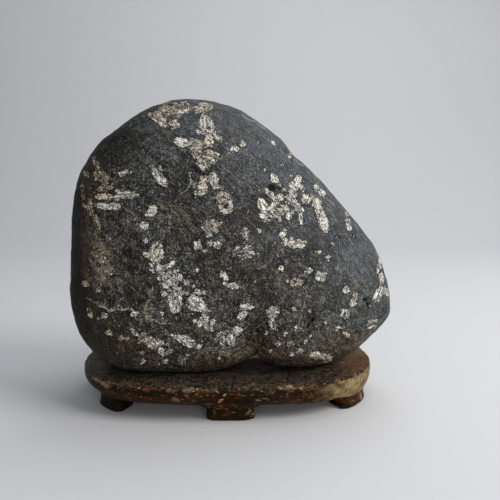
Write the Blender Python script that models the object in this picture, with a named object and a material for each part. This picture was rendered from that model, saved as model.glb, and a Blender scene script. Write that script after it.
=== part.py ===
"""A suiseki: a dark river stone with pale crystals, standing in a carved wooden stand.

The stone is one natural piece and the stand is carved from one block, with six feet and a seat cut to the
stone's underside. +Z is up, the face that is shown looks along -Y, and the origin is on the surface that
the feet stand on, under the middle of the object. Lengths are millimetres until they become vertices.
"""

import math

import bmesh
import bpy
import numpy as np
from mathutils import Vector, noise

MM = 0.001
# The x, in the measures below, of the middle of the whole object, which is where the origin goes
MIDDLE_X = 1.6

# Stone: its rim, seen from the front as (x, z), clockwise from the top
STONE_RIM = (
    (-17, 175), (1, 171.3), (17, 162.8), (31, 152), (37.5, 143), (45.5, 136.7), (54, 128), (71.5, 108.5),
    (85, 92), (92.5, 74), (96.3, 55.5), (95.5, 47), (86, 35), (75, 25), (60.5, 18), (45, 17),
    (31, 17), (20, 18.6), (9, 19), (-3, 14), (-18, 12.5), (-40, 14), (-59, 14.5), (-73, 20), (-83, 29.5),
    (-90.5, 42.5), (-93.5, 59.5), (-94, 77.5), (-93.3, 95), (-92, 115.5), (-87, 133.5), (-78.5, 146),
    (-68.3, 155.3), (-59, 162.3), (-48, 170.3), (-33, 174),
)
STONE_HEART = (-4, 92)
STONE_HALF_THICKNESS = 43
THINNER_TO_THE_RIGHT = 0.055
THINNER_TO_THE_TOP = 0.06
LEAN_BACK = 0.045
# Exponents of the stone's cross-section: 1 is an ellipse, and less has a flatter face and a fuller edge
FACE_FULLNESS = 0.74
EDGE_FULLNESS = 0.84
STONE_CUTS = 19
RIM_CURVE_POINTS = 720
# Stone: how quickly its swells fade out from its faces towards its rim
FACING_SHARPNESS = 2.2

# Stone: the height of its underside at the stations X, and how softly the sides run into it
UNDERSIDE = (
    (-95, 17.5), (-58, 17), (-34, 17.4), (-16, 16), (-3, 17.3), (14, 22.8), (30, 19.4), (60, 18.8), (95, 21),
)
UNDERSIDE_BLEND = 4

# Stone: broad swells and hollows of the two faces, as side (-1 front, 1 back), x, z, half width,
# half height, turn in degrees, and how far it stands out (less than 0 goes in)
SWELLS = (
    (-1, -62, 48, 34, 26, 0, 2.5),
    (-1, -38, 30, 30, 16, 0, 2.5),
    (-1, 46, 36, 30, 18, 10, 3.0),
    (-1, -28, 118, 40, 30, -20, 2.0),
    (-1, 52, 82, 30, 20, -40, 1.6),
    (-1, 14, 30, 9, 26, 4, -4.5),
    (-1, 16, 66, 20, 30, 8, -1.8),
    (-1, -80, 76, 9, 20, 6, -2.6),
    (-1, -82, 128, 10, 14, -20, -1.4),
    (-1, 30, 112, 16, 12, -35, -1.5),
    (-1, -8, 82, 26, 12, 20, 1.2),
    (-1, 70, 60, 16, 12, 0, -1.3),
    (1, -50, 120, 34, 26, 25, 3.0),
    (1, 40, 96, 30, 34, -30, 3.2),
    (1, -46, 52, 34, 24, 0, 2.6),
    (1, 8, 66, 16, 30, 15, -3.4),
    (1, 66, 52, 20, 16, 0, -2.0),
    (1, -12, 140, 20, 14, 0, -1.8),
    (1, 26, 24, 30, 12, 0, 1.8),
)
# Stone: pits and nicks, in the same words; the faces near them are made finer
PITS = (
    (-1, 84.5, 55, 3.4, 4.6, 25, -3.2),
    (-1, 50, 43.5, 2.6, 6.5, -35, -2.6),
    (-1, 27.5, 121, 6.0, 4.4, -30, -2.4),
    (-1, 15.5, 27, 5.5, 6.5, 15, -2.6),
    (-1, -69, 118, 9.0, 2.2, 2, -1.5),
    (-1, -66, 107, 8.0, 2.0, 6, -1.3),
    (-1, -70, 51, 13.0, 1.9, -8, -1.2),
    (-1, 18, 70, 4.0, 3.0, 0, -1.3),
    (1, -30, 88, 5.0, 3.6, 40, -2.4),
    (1, 34, 132, 4.4, 6.6, -30, -2.2),
    (1, 52, 66, 6.5, 3.2, 20, -2.4),
)
PIT_REACH = 1.8
# Stone: uneven water-worn skin, as the size of the lumps and how far they stand out
SKIN_WAVES = ((44, 2.2), (19, 1.0), (9, 0.35))
RIM_CALM = 0.45
# Stone: how far its rim's shape is turned about the thickness of the stone on its way to the faces
RIM_TWIST = 0.14

# Stand: the edge of its top, seen from above as (x, y), anticlockwise from the left end
STAND_EDGE = (
    (-90.5, 3), (-85.2, -19.5), (-75, -36.3), (-57, -47.5), (-29, -51.7), (0, -52.5), (28, -50.8), (52.5, -45),
    (70.6, -34.2), (82.2, -19), (86.5, 0), (83.5, 19), (72, 35), (53, 45.5), (28, 51), (0, 52.5),
    (-29, 51.5), (-57, 47), (-77, 36.5), (-87.5, 21),
)
EDGE_CURVE_POINTS = 1440
FOOT_HEIGHT = 8
# Stand: the section of its rim, as (distance in from the edge, height), from the top to the underside
RIM_SECTION = (
    (30, 20.2), (14, 20.3), (6, 20.0), (2.6, 19.7), (0.9, 18.9), (0.1, 17.4), (0, 15.4), (0.7, 13.2),
    (2.0, 11.2), (3.8, 9.5), (5.8, 8.4), (8.0, FOOT_HEIGHT), (20, FOOT_HEIGHT),
)
RIM_STATIONS = 72
# Stand: the insets near its edge, up to this far in, grow at the left end and shrink at the steeper right end
RIM_WIDTH = 10
RIM_SLOPE = ((-84, -60, 18, 50), (1.5, 1, 1, 0.3))
CARVING_WAVES = ((30, 0.5), (8, 0.2))
SEAT_GAP = 0.35

# Feet: where each stands, as a share of the way round the edge from the left end, its half width,
# and how much farther in it is set than the section below
FEET = {
    "front_left": (0.0955, 13.2, 1.8),
    "front": (0.264, 13.8, 0.0),
    "front_right": (0.4385, 14.0, -2.2),
    "back_right": (0.568, 13.5, 0.4),
    "back": (0.736, 13.8, 0.0),
    "back_left": (0.896, 13.0, 2.4),
}
# Feet: from the floor up, as (height, change of half width, outer face in from the edge, inner face in)
FOOT_SECTION = (
    (0.0, -0.6, 4.2, 17.5),
    (0.8, 0.0, 3.6, 18.2),
    (2.4, -0.2, 3.7, 18.5),
    (4.6, -1.2, 4.2, 19.0),
    (6.2, 0.2, 4.4, 19.8),
    (7.4, 3.0, 4.3, 21.0),
    (8.8, 5.5, 4.6, 22.5),
    (11.0, 6.5, 7.5, 23.0),
)
FOOT_COLUMNS = 8
# Feet: how far their corners are drawn in, and how square the outline is between them
FOOT_CORNER = 2.4
FOOT_SQUARENESS = 6

# Edges that turn by more than this many degrees are shaded sharp
SHARP_ANGLE = 50

STONE_COLOUR = (0.055, 0.055, 0.052, 1)
WOOD_COLOUR = (0.045, 0.022, 0.011, 1)


def clear_scene():
    for thing in list(bpy.data.objects):
        bpy.data.objects.remove(thing)


def material(name, colour, roughness):
    """A plain finish with the part's colour."""
    made = bpy.data.materials.new(name)
    made.use_nodes = True
    shader = made.node_tree.nodes["Principled BSDF"]
    shader.inputs["Base Color"].default_value = colour
    shader.inputs["Roughness"].default_value = roughness
    shader.inputs["Metallic"].default_value = 0
    return made


def add_object(name, mesh, finish=None):
    """The bmesh as a named object, shaded smooth, from millimetres to metres about the origin."""
    bmesh.ops.translate(mesh, vec=(-MIDDLE_X, 0, 0), verts=mesh.verts[:])
    bmesh.ops.scale(mesh, vec=(MM, MM, MM), verts=mesh.verts[:])
    bmesh.ops.recalc_face_normals(mesh, faces=mesh.faces[:])
    data = bpy.data.meshes.new(name)
    mesh.to_mesh(data)
    mesh.free()
    data.shade_smooth()
    data.set_sharp_from_angle(angle=math.radians(SHARP_ANGLE))
    if finish:
        data.materials.append(finish)
    thing = bpy.data.objects.new(name, data)
    bpy.context.scene.collection.objects.link(thing)
    return thing


def closed_curve(points, count):
    """count points along a smooth closed curve through the given ones, as an array."""
    corners = np.array(points, float)
    before, after, beyond = (np.roll(corners, shift, axis=0) for shift in (1, -1, -2))
    made = []
    for step in np.arange(count) * len(corners) / count:
        i, t = int(step), step % 1
        made.append(
            corners[i]
            + 0.5 * t * (after[i] - before[i])
            + t * t * (before[i] - 2.5 * corners[i] + 2 * after[i] - 0.5 * beyond[i])
            + t**3 * (1.5 * (corners[i] - after[i]) + 0.5 * (beyond[i] - before[i]))
        )
    return np.array(made)


def waves(point, settings, seed):
    """The height of an uneven surface at a point, from lumps of a few sizes."""
    return sum(
        height * noise.noise(Vector(point) / size + Vector((seed, 3 * seed, -seed)))
        for size, height in settings
    )


def rim_table():
    """The stone's rim as angles about its heart and the distance out at each."""
    out = closed_curve(STONE_RIM, RIM_CURVE_POINTS) - np.array(STONE_HEART)
    angles = np.arctan2(out[:, 1], out[:, 0])
    order = np.argsort(angles)
    return angles[order], np.hypot(out[:, 0], out[:, 1])[order]


RIM_ANGLES, RIM_DISTANCES = rim_table()


def spread(feature, x, z):
    """How far (x, z) is from the middle of a swell or pit, where 1 is its edge."""
    _, middle_x, middle_z, half_width, half_height, turn, _ = feature
    c, s = math.cos(math.radians(turn)), math.sin(math.radians(turn))
    dx, dz = x - middle_x, z - middle_z
    return math.hypot((dx * c + dz * s) / half_width, (dz * c - dx * s) / half_height)


def stone_body(direction):
    """The point of the stone's main form in a direction from its heart, before swells and skin."""
    angle = math.atan2(direction.z, direction.x) + RIM_TWIST * direction.y * abs(direction.y)
    across = math.hypot(direction.x, direction.z)
    reach = np.interp(angle, RIM_ANGLES, RIM_DISTANCES, period=2 * math.pi) * across**FACE_FULLNESS
    x = STONE_HEART[0] + reach * math.cos(angle)
    z = STONE_HEART[1] + reach * math.sin(angle)
    thickness = STONE_HALF_THICKNESS - THINNER_TO_THE_RIGHT * x - THINNER_TO_THE_TOP * (z - STONE_HEART[1])
    y = math.copysign(thickness * abs(direction.y) ** EDGE_FULLNESS, direction.y)
    return Vector((x, y + LEAN_BACK * (z - STONE_HEART[1]), z))


def stone_point(direction):
    """The finished point of the stone's surface in a direction from its heart."""
    point = stone_body(direction)
    side = math.copysign(1, direction.y)
    facing = min(1, abs(direction.y) * FACING_SHARPNESS)
    for feature in SWELLS + PITS:
        if feature[0] == side:
            point.y += side * facing * feature[6] * math.exp(-spread(feature, point.x, point.z) ** 2)
    point += direction * waves(point, SKIN_WAVES, 7) * (RIM_CALM + (1 - RIM_CALM) * facing)
    floor = np.interp(point.x, *zip(*UNDERSIDE))
    above = point.z - floor
    point.z = floor + 0.5 * (above + math.hypot(above, UNDERSIDE_BLEND))
    return point


def near_a_pit(direction):
    point = stone_body(direction)
    return any(
        pit[0] == math.copysign(1, direction.y) and spread(pit, point.x, point.z) < PIT_REACH
        for pit in PITS
    )


def stone_mesh():
    """An even grid of directions, finer near the pits, each moved out to the stone's surface."""
    mesh = bmesh.new()
    bmesh.ops.create_cube(mesh, size=2)
    bmesh.ops.subdivide_edges(mesh, edges=mesh.edges[:], cuts=STONE_CUTS, use_grid_fill=True)
    for vertex in mesh.verts:
        vertex.co = Vector([math.tan(c * math.pi / 4) for c in vertex.co]).normalized()
    close = [f for f in mesh.faces if near_a_pit(f.calc_center_median().normalized())]
    edges = list({e for f in close for e in f.edges})
    bmesh.ops.subdivide_edges(mesh, edges=edges, cuts=1, use_grid_fill=True)
    for vertex in mesh.verts:
        vertex.co = stone_point(vertex.co.normalized())
    bmesh.ops.triangulate(mesh, faces=mesh.faces[:], quad_method="SHORT_EDGE")
    return mesh


def edge_frame():
    """Points all round the edge of the stand's top, evenly spaced, with the outward direction at each."""
    points = closed_curve(STAND_EDGE, EDGE_CURVE_POINTS)
    lengths = np.hypot(*(np.roll(points, -1, axis=0) - points).T)
    along = np.concatenate([[0], np.cumsum(lengths)]) / lengths.sum()
    closed = np.vstack([points, points[:1]])
    even = np.arange(EDGE_CURVE_POINTS) / EDGE_CURVE_POINTS
    points = np.stack([np.interp(even, along, closed[:, i]) for i in (0, 1)], axis=1)
    ahead = np.roll(points, -1, axis=0) - np.roll(points, 1, axis=0)
    outward = np.stack([ahead[:, 1], -ahead[:, 0]], axis=1)
    return points, outward / np.hypot(*outward.T)[:, None], lengths.sum()


EDGE_POINTS, EDGE_OUTWARD, EDGE_LENGTH = edge_frame()


def at_edge(share, inset, height):
    """The point a distance in from the edge of the stand's top, a share of the way round it."""
    i = round(share * len(EDGE_POINTS)) % len(EDGE_POINTS)
    x, y = EDGE_POINTS[i] - EDGE_OUTWARD[i] * inset
    return Vector((x, y, height))


def skin(mesh, rows):
    """Joins rows of the same number of points, each a closed loop, and caps the first and the last."""
    loops = [[mesh.verts.new(point) for point in row] for row in rows]
    for low, high in zip(loops, loops[1:]):
        for i in range(len(low)):
            j = (i + 1) % len(low)
            mesh.faces.new((low[i], low[j], high[j], high[i]))
    mesh.faces.new(loops[0][::-1])
    mesh.faces.new(loops[-1])


def rim_point(share, inset, height):
    """A point of the stand's rim, which slopes in more at the left end and less at the right."""
    slope = np.interp(at_edge(share, 0, 0).x, *RIM_SLOPE)
    return at_edge(share, inset * slope if inset < RIM_WIDTH else inset, height)


def plate_mesh():
    """The stand without its feet: a slab with a rounded, slightly uneven rim that draws in to its foot."""
    mesh = bmesh.new()
    rows = []
    for inset, height in RIM_SECTION:
        row = [rim_point(i / RIM_STATIONS, inset, height) for i in range(RIM_STATIONS)]
        if inset < RIM_WIDTH and height > FOOT_HEIGHT:
            row = [p + Vector((p.x, p.y, 0)).normalized() * waves(p, CARVING_WAVES, 2) for p in row]
        rows.append(row)
    skin(mesh, rows)
    return mesh


def foot_mesh(share, half_width, set_in):
    """A carved foot: it follows the edge, spreads at the floor and flares into the slab above."""
    mesh = bmesh.new()
    rows = []
    steps = np.linspace(-1, 1, FOOT_COLUMNS)
    for height, wider, outer, inner in FOOT_SECTION:
        reach = (half_width + wider) / EDGE_LENGTH
        corners = FOOT_CORNER * steps**FOOT_SQUARENESS
        front = [at_edge(share + reach * s, outer + set_in + c, height) for s, c in zip(steps, corners)]
        back = [at_edge(share + reach * s, inner + set_in - c, height) for s, c in zip(steps, corners)]
        rows.append(front + back[::-1])
    skin(mesh, rows)
    return mesh


def seat_cutter_mesh():
    """The stone's own form, a little larger all round, which cuts its seat into the stand."""
    mesh = stone_mesh()
    bmesh.ops.recalc_face_normals(mesh, faces=mesh.faces[:])
    mesh.normal_update()
    for vertex, normal in [(v, v.normal.copy()) for v in mesh.verts]:
        vertex.co += normal * SEAT_GAP
    return mesh


def boolean(thing, operation, other):
    made = thing.modifiers.new(f"{operation.lower()} {other.name}", "BOOLEAN")
    made.operation = operation
    made.object = other
    made.solver = "EXACT"
    other.hide_render = True
    other.display_type = "WIRE"


def build_stone():
    return add_object("stone", stone_mesh(), material("porphyry", STONE_COLOUR, 0.55))


def build_stand():
    """The slab, with the feet joined to it and the stone's seat cut out of its top."""
    stand = add_object("stand", plate_mesh(), material("dark_wood", WOOD_COLOUR, 0.5))
    for name, measures in FEET.items():
        boolean(stand, "UNION", add_object(f"foot_{name}", foot_mesh(*measures)))
    boolean(stand, "DIFFERENCE", add_object("seat_cutter", seat_cutter_mesh()))
    return stand


clear_scene()
build_stone()
build_stand()
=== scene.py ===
import math
import random

import bmesh
import bpy
import numpy as np
from mathutils import Matrix, Vector, noise


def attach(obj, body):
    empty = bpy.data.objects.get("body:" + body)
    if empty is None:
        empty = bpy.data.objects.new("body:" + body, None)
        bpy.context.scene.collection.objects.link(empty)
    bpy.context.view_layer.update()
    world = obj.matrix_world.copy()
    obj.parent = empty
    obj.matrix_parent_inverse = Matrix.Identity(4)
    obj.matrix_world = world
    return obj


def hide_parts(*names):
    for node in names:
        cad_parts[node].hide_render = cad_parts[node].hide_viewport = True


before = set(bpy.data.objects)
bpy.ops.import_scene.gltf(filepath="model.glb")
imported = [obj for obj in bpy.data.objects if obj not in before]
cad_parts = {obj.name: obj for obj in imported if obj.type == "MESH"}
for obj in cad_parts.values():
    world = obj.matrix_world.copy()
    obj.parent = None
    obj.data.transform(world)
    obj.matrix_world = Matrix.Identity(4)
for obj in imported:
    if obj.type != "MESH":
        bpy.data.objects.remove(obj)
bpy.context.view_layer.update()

MM = 0.001

# The photo's camera, in millimetres and degrees, and its frame in pixels
LENS, SENSOR = 40.0, 36.0
CAMERA_AT = (10.6, -332.0, 139.0)
CAMERA_DOWN = 9.0
FRAME_SIDE = 500
FOCAL_PIXELS = LENS / SENSOR * FRAME_SIDE
# A line shorter than this counts as a point
SHORTEST = 1e-6
# How far a mark's rounded ends are drawn in, in its widths and at most its lengths, and how late it narrows
END_WIDTHS, END_LENGTHS, END_SHARPNESS = 0.42, 0.49, 2.5

# The stone's skin: how often its solid's faces are split, the sizes and heights of its lumps and dents, and
# between which heights above the seat they fade in, in millimetres
SKIN_LEVELS = 2
SKIN_LUMPS = ((26, 0.5), (11, 0.3), (5, 0.28), (2.6, 0.15))
SKIN_DENTS = ((13, 0.5), (6.5, 0.3))
SMOOTH_BELOW, ROUGH_ABOVE = 18, 34
# How many faces are split once more, and how near to a crystal's edge they have to be
FINER_FACES, FINER_WITHIN = 8500, 1.0

# Pale crystals: the two ends of each one's middle line and its width in pixels of the photo's frame,
# how bright it is and how warm its colour is, from 0 to 1
CRYSTALS = (
    # crown and the figure below it
    (148.5, 112.5, 167.5, 126.5, 5.5, 0.75, 0.5), (154, 112.5, 163, 120, 5, 0.75, 0.6),
    (158, 108, 163, 115, 5, 0.68, 0.7), (159, 108, 178, 113, 10, 0.75, 0.7),
    (163, 104, 182, 107, 5, 0.5, 0.7), (158, 117, 167, 124.5, 7, 0.85, 0.5),
    (169.5, 121.5, 179.5, 126.5, 8.5, 0.82, 0.3), (172.5, 117, 180.5, 116, 4.5, 0.7, 0.4),
    (176, 112, 191, 109, 4.5, 0.8, 0.4), (181, 103, 184, 104, 3, 0.75, 0.2),
    (185, 101.5, 188, 103, 2.6, 0.6, 0.3), (187, 103, 188, 109, 4, 0.6, 0.4),
    (189.5, 105.5, 192, 111, 4, 0.5, 0.5), (194.5, 108.5, 212.5, 106, 8.5, 0.78, 0.55),
    (194, 111, 199, 111.5, 2.5, 0.7, 0.4), (203, 114.5, 204, 131.5, 8, 0.86, 0.3),
    (208.5, 116, 212.5, 134, 5.5, 0.76, 0.2), (212, 132, 216, 135, 2.2, 0.8, 0.1),
    (204, 130, 212, 136, 9, 0.66, 0.15), (205, 134, 213, 139, 6, 0.85, 0.3),
    (196, 131, 204, 134, 2.6, 0.9, 0.1), (214, 136, 222, 140.5, 2.8, 0.75, 0.3),
    (204, 139.5, 214, 145, 10, 0.85, 0.55), (174, 140.5, 190, 144.5, 8, 0.92, 0.15),
    (187, 142, 192, 143, 4, 0.7, 0.3), (191, 141.5, 204, 146, 9, 0.82, 0.35),
    (191.5, 138, 193, 142, 2.5, 0.75, 0.2), (192, 146, 200, 159, 10, 0.72, 0.4),
    (202, 151, 215, 159, 11, 0.74, 0.5), (213, 153, 219, 157, 4.5, 0.7, 0.2),
    (198, 159, 206, 170, 10, 0.75, 0.3), (208, 160, 216, 163, 9, 0.78, 0.35),
    (207, 166, 211, 164, 4, 0.3, 0.3), (200, 180, 208, 177, 8, 0.78, 0.5), (207, 180, 211, 176, 5, 0.8, 0.3),
    (213, 171.5, 214.5, 188.5, 8, 0.86, 0.4), (196, 186.5, 208, 186, 11, 0.8, 0.55),
    (197, 193, 207, 191, 6, 0.82, 0.4), (194.5, 195, 197, 192.5, 3.8, 1, 0.2),
    (190, 171, 193.5, 187, 3.6, 0.42, 0), (187, 190, 192, 186, 2.5, 0.4, 0),
    (151, 165, 153, 168, 3.4, 0.7, 0.1), (152.5, 168.5, 167, 186.5, 7.5, 0.82, 0.2),
    (158, 164, 161, 172, 2.2, 0.6, 0.1), (217, 188, 224, 187, 3, 0.7, 0.1),
    (241, 145.5, 246, 141.5, 5.8, 0.9, 0.4), (230.6, 149, 239.2, 149.5, 7, 0.85, 0.4),
    (272, 141, 275, 145, 2.8, 0.8, 0.3), (256.5, 143, 258, 143, 2, 0.8, 0.2),
    (282, 164, 284, 166, 3, 0.5, 0.2), (286, 153.5, 291, 158, 3.2, 0.6, 0.4),
    # right-hand star
    (271.5, 174, 277.5, 183, 7, 0.95, 0.3), (277, 183, 281, 186, 1.8, 0.8, 0.3),
    (263, 169, 265, 170, 2.6, 0.95, 0), (291, 175, 292, 176, 1.6, 0.9, 0),
    (299.5, 175, 296, 187, 4.6, 0.9, 0.2), (290.5, 181.5, 293, 187, 5, 0.85, 0.15),
    (281, 190, 285, 189, 2.4, 0.85, 0.2), (299, 184, 300.5, 189, 2.6, 1, 0.2),
    (300.5, 189, 303.5, 185.5, 2.8, 1, 0.2), (303, 190, 304, 191.5, 1.4, 0.8, 0.1),
    (289, 190, 297, 197, 11, 0.74, 0.15), (293, 186, 297, 191, 7, 0.72, 0.1),
    (286, 196, 293, 204, 8, 0.72, 0.2), (292, 200, 297, 202, 5, 0.75, 0.1),
    (279, 194, 283, 199, 9.5, 0.85, 0.6), (266, 189, 277.5, 201.5, 3.8, 0.65, 0.1),
    (276, 200, 279, 204, 3.4, 1, 0.2), (274, 201.5, 272.5, 209, 5, 0.95, 0.6),
    (259.5, 198, 265, 211, 7.4, 1, 0.25), (266.5, 209.5, 276, 205.5, 3.2, 0.95, 0.5),
    (260, 213, 269, 217, 7.5, 0.95, 0.2), (264, 221, 271, 221, 3.4, 0.55, 0.1),
    (271, 210, 281, 216, 7.5, 0.66, 0.1), (270.5, 213, 274, 219, 4, 0.7, 0.1),
    (277, 205, 284, 211, 6, 0.6, 0.1), (283, 211, 279, 215, 4, 0.8, 0.2),
    (279, 217, 280, 220.5, 2.2, 0.95, 0.1), (286, 205.5, 286.5, 212.5, 6, 0.78, 0.3),
    (288, 212.5, 289, 220, 3.6, 1, 0.2), (291, 211, 294, 214.5, 3.6, 0.7, 0.1),
    (295, 205.5, 301, 211.5, 6, 0.95, 0.1), (294.5, 203.5, 300, 206, 2.4, 0.95, 0.1),
    (300, 206, 303, 212, 2.4, 0.8, 0.1), (300, 212, 301.8, 224, 2.6, 0.95, 0.1),
    (293, 205, 296, 206, 3, 0.7, 0.2), (306, 193.5, 306, 204.5, 8.5, 0.85, 0.45),
    (310.5, 197.5, 314.5, 195.5, 3.4, 0.7, 0.2), (314.5, 197.5, 321, 217, 7.5, 0.88, 0.3),
    (318.5, 207, 327, 232.5, 8, 0.88, 0.25), (316, 184, 317, 191.5, 3.6, 0.85, 0.05),
    (318.5, 190, 325.5, 196, 5.8, 0.85, 0.05),
    # centre
    (281.5, 237.5, 284, 231, 4.8, 0.88, 0.2), (283, 230.5, 286.8, 230.5, 2.8, 0.95, 0.1),
    (284.5, 237.5, 286, 247, 6.2, 0.82, 0.3), (287, 244.5, 307, 243.5, 7.6, 0.88, 0.5),
    (291, 237.5, 292, 240.5, 2.2, 0.9, 0.2), (259, 229, 259, 232, 3, 1, 0),
    (273, 243, 274, 244, 3.4, 0.7, 0.3), (212, 222, 218.5, 225.5, 6, 0.88, 0.75),
    (219, 226, 222, 222, 2.4, 0.5, 0.5), (206, 225, 213, 222, 3.4, 0.72, 0.4),
    (207, 229, 213, 228, 4, 0.6, 0.3), (213, 232, 219, 229, 3.8, 1, 0.1),
    (206, 231.5, 213, 233, 2.6, 0.7, 0.3), (206, 234, 213, 236, 7.4, 0.8, 0.4),
    (203, 223.5, 204, 231, 3.2, 0.6, 0.1), (197, 240, 198, 250.5, 9, 0.85, 0.4),
    (208, 246, 210.5, 240.5, 6, 0.85, 0.4), (213.5, 244.5, 221.5, 246, 7.6, 0.82, 0.1),
    (203, 250.5, 206.5, 251, 5, 0.95, 0.1), (200, 219, 201, 220, 1.8, 0.8, 0.1),
    (196, 270, 198, 271, 3.6, 1, 0.1), (240.5, 231.5, 249, 232, 7.6, 0.8, 0.4),
    (243, 228, 246, 237, 6.5, 0.78, 0.4), (244, 238, 247, 240.5, 2.2, 0.65, 0.2),
    (245, 242, 246, 246, 2.4, 0.55, 0), (234.5, 249.5, 240, 248.5, 4.4, 0.6, 0.1),
    (243.5, 249, 251.5, 248, 7, 0.74, 0.3), (236, 254, 246, 254, 7, 0.52, 0.1),
    (240, 258, 245, 259, 4.4, 0.62, 0.1), (247, 257, 251.5, 256.5, 4.6, 0.92, 0.2),
    (250, 252, 255, 253.5, 3.2, 0.95, 0.2), (234, 252, 235, 257, 3, 0.5, 0.1),
    (276.5, 255, 278, 257, 2.6, 0.95, 0.1), (247, 212, 249, 213, 2.4, 0.9, 0.1),
    (257, 254, 259, 255, 1.6, 0.6, 0.2), (315, 250.5, 318, 252.5, 2.4, 0.6, 0.1),
    (318, 251, 320.5, 253, 3.2, 0.78, 0.1), (326, 258, 329.5, 259, 5.6, 1, 0.2),
    (330, 243, 334, 245, 2, 0.45, 0.1), (337, 235, 339, 239, 2, 0.45, 0.1),
    (342.5, 243.5, 343.5, 245.5, 2.4, 0.55, 0.2),
    # left of the middle
    (148, 212.5, 157, 207.5, 9, 1, 0.3), (146, 214.5, 155, 214, 2.6, 0.9, 0.1),
    (140, 226.5, 148.5, 223.5, 6, 1, 0.2), (144, 228, 147, 229, 3, 0.8, 0.1),
    (144.5, 239, 146, 242, 4.2, 0.95, 0.1), (156.5, 248, 157, 256, 5.6, 0.95, 0.5),
    (152, 243, 156, 246, 2.2, 0.7, 0.1), (158, 242, 160, 246, 2.2, 0.7, 0.1),
    (143.5, 253.5, 150.5, 257, 6.2, 0.8, 0.35), (151, 257, 154, 260.5, 3.4, 0.95, 0.5),
    (150.5, 262.5, 153.5, 267, 4, 0.55, 0), (156, 264.5, 163, 270.5, 8, 0.72, 0.2),
    (163, 268, 167, 266, 3, 0.6, 0.1), (160, 271, 164, 275, 7, 0.8, 0.4),
    (165, 268, 175, 262, 3.8, 0.85, 0.2), (151, 269, 152, 272, 4.8, 0.85, 0.1),
    (168, 271, 172, 274, 5.5, 0.8, 0.1), (175, 270, 177, 273, 4.8, 0.8, 0.1),
    (157, 276, 160, 279.5, 4, 0.85, 0.2), (164, 273, 172, 285, 9.4, 0.68, 0.2),
    (173, 276, 175, 281, 3.8, 0.95, 0.1), (176.5, 276, 182.5, 279, 6, 1, 0.1),
    (183, 283, 189, 283, 6.2, 0.82, 0.1), (163, 281.5, 169, 288.5, 7.5, 0.68, 0.1),
    (173, 281, 177, 286, 8, 0.78, 0.4), (170, 289, 176, 289, 3.6, 1, 0.2),
    (178, 286.5, 182, 294, 5.6, 0.72, 0.2), (163, 296, 166, 292, 4.8, 0.85, 0.1),
    (184, 294, 189, 293, 3.6, 0.9, 0.2), (187.5, 296.5, 207, 311, 11.5, 0.82, 0.25),
    (187, 302, 197, 311, 5, 0.75, 0.2), (204, 309.5, 209.5, 311.5, 3, 0.7, 0.1),
    (172, 300, 178, 304, 4, 0.7, 0.1), (170.5, 293, 174, 297, 3, 0.75, 0.1),
    (176, 292, 180, 296, 3, 0.75, 0.1), (202.5, 314, 205.5, 313.5, 3, 0.8, 0.1),
    (196.5, 323, 204, 324, 9, 0.82, 0.6), (199.5, 319, 209.5, 318.5, 7.5, 0.74, 0.15),
    (204, 322, 207, 324, 5, 0.7, 0.2), (210.5, 321.8, 214, 324.5, 3, 1, 0.1),
    (210, 322, 216, 319.5, 1.6, 0.75, 0.1), (206, 325, 207, 330, 2.8, 0.85, 0.1),
    (209, 327, 214, 330, 2.4, 0.6, 0.1), (193.3, 320.5, 196.5, 321.5, 2.8, 0.85, 0.2),
    (194.5, 290, 199, 292.5, 4, 0.85, 0.1), (199, 294, 200, 293, 2.2, 0.9, 0.1),
    (204, 291, 204.5, 294, 2.2, 0.95, 0), (193, 287, 195, 286, 1.6, 0.8, 0.3),
    (162, 312, 162, 318, 3, 0.85, 0.2), (153, 287, 153, 290, 3.6, 0.8, 0.1),
    # lower left
    (131, 328.5, 138, 336, 3.6, 0.6, 0.5), (141, 338, 152, 341, 8, 0.55, 0.65),
    (141, 333, 147, 338, 3, 0.6, 0.6), (147, 336, 152, 342, 6, 0.62, 0.5), (150, 341, 155, 347, 5, 0.75, 0.3),
    (137, 342.5, 144, 340, 2.4, 0.45, 0.6), (138, 336, 142, 339, 2, 0.5, 0.5),
    (147, 343.5, 153.5, 348, 3.2, 0.72, 0.4), (151, 340, 157, 342, 4, 0.5, 0.35),
    (155, 346, 160, 343, 4, 0.7, 0.4), (158, 339, 164, 345, 3.8, 0.5, 0.35),
    (167, 343, 169, 346, 3, 0.65, 0.2), (159, 347.5, 164.5, 355.5, 6.2, 0.72, 0.45),
    (163, 353, 167, 354, 3, 0.6, 0.3), (167, 353, 172, 351, 4, 0.7, 0.3),
    (139.8, 353, 144.5, 352.5, 3.4, 0.5, 0.6), (176, 336, 197, 346, 8, 0.7, 0.05),
    (190.5, 337, 191.5, 341, 1.6, 0.6, 0.1), (171, 335, 178, 338, 2.4, 0.6, 0.2),
    (196.5, 347, 202, 346.5, 6, 0.95, 0.3), (140.5, 363.5, 146, 359.5, 4, 0.62, 0.5),
    (148, 364, 160, 363, 3.6, 0.4, 0.7), (162, 362, 170, 361, 4, 0.5, 0.3),
    (130.5, 314, 137.3, 314.3, 4.2, 0.95, 0.25), (105.5, 331.5, 112.5, 333, 5, 0.72, 0.9),
    (118.5, 338.5, 124.5, 338, 4.2, 0.5, 0.9), (125, 339, 129.5, 337, 2.2, 0.62, 0.6),
    (88, 308, 91.5, 318, 3.2, 0.55, 0.6), (97, 317, 98, 319, 2.2, 0.6, 0.4), (202, 340, 202, 342, 2, 0.8, 0),
    (186, 356, 188, 355, 2, 0.65, 0.3), (219, 357, 219, 360, 2, 0.6, 0.7),
    # below the middle
    (221, 271, 227.5, 281, 4.8, 0.92, 0.3), (223.5, 283, 230, 286.5, 3, 0.75, 0.1),
    (229.5, 284.5, 239.5, 288, 5.2, 0.85, 0.2), (239.5, 306.5, 254.5, 307, 5.6, 0.82, 0.35),
    (246, 304, 247, 305, 3, 0.9, 0.4), (238.5, 319, 247.5, 310.5, 5.4, 0.75, 0.2),
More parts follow.
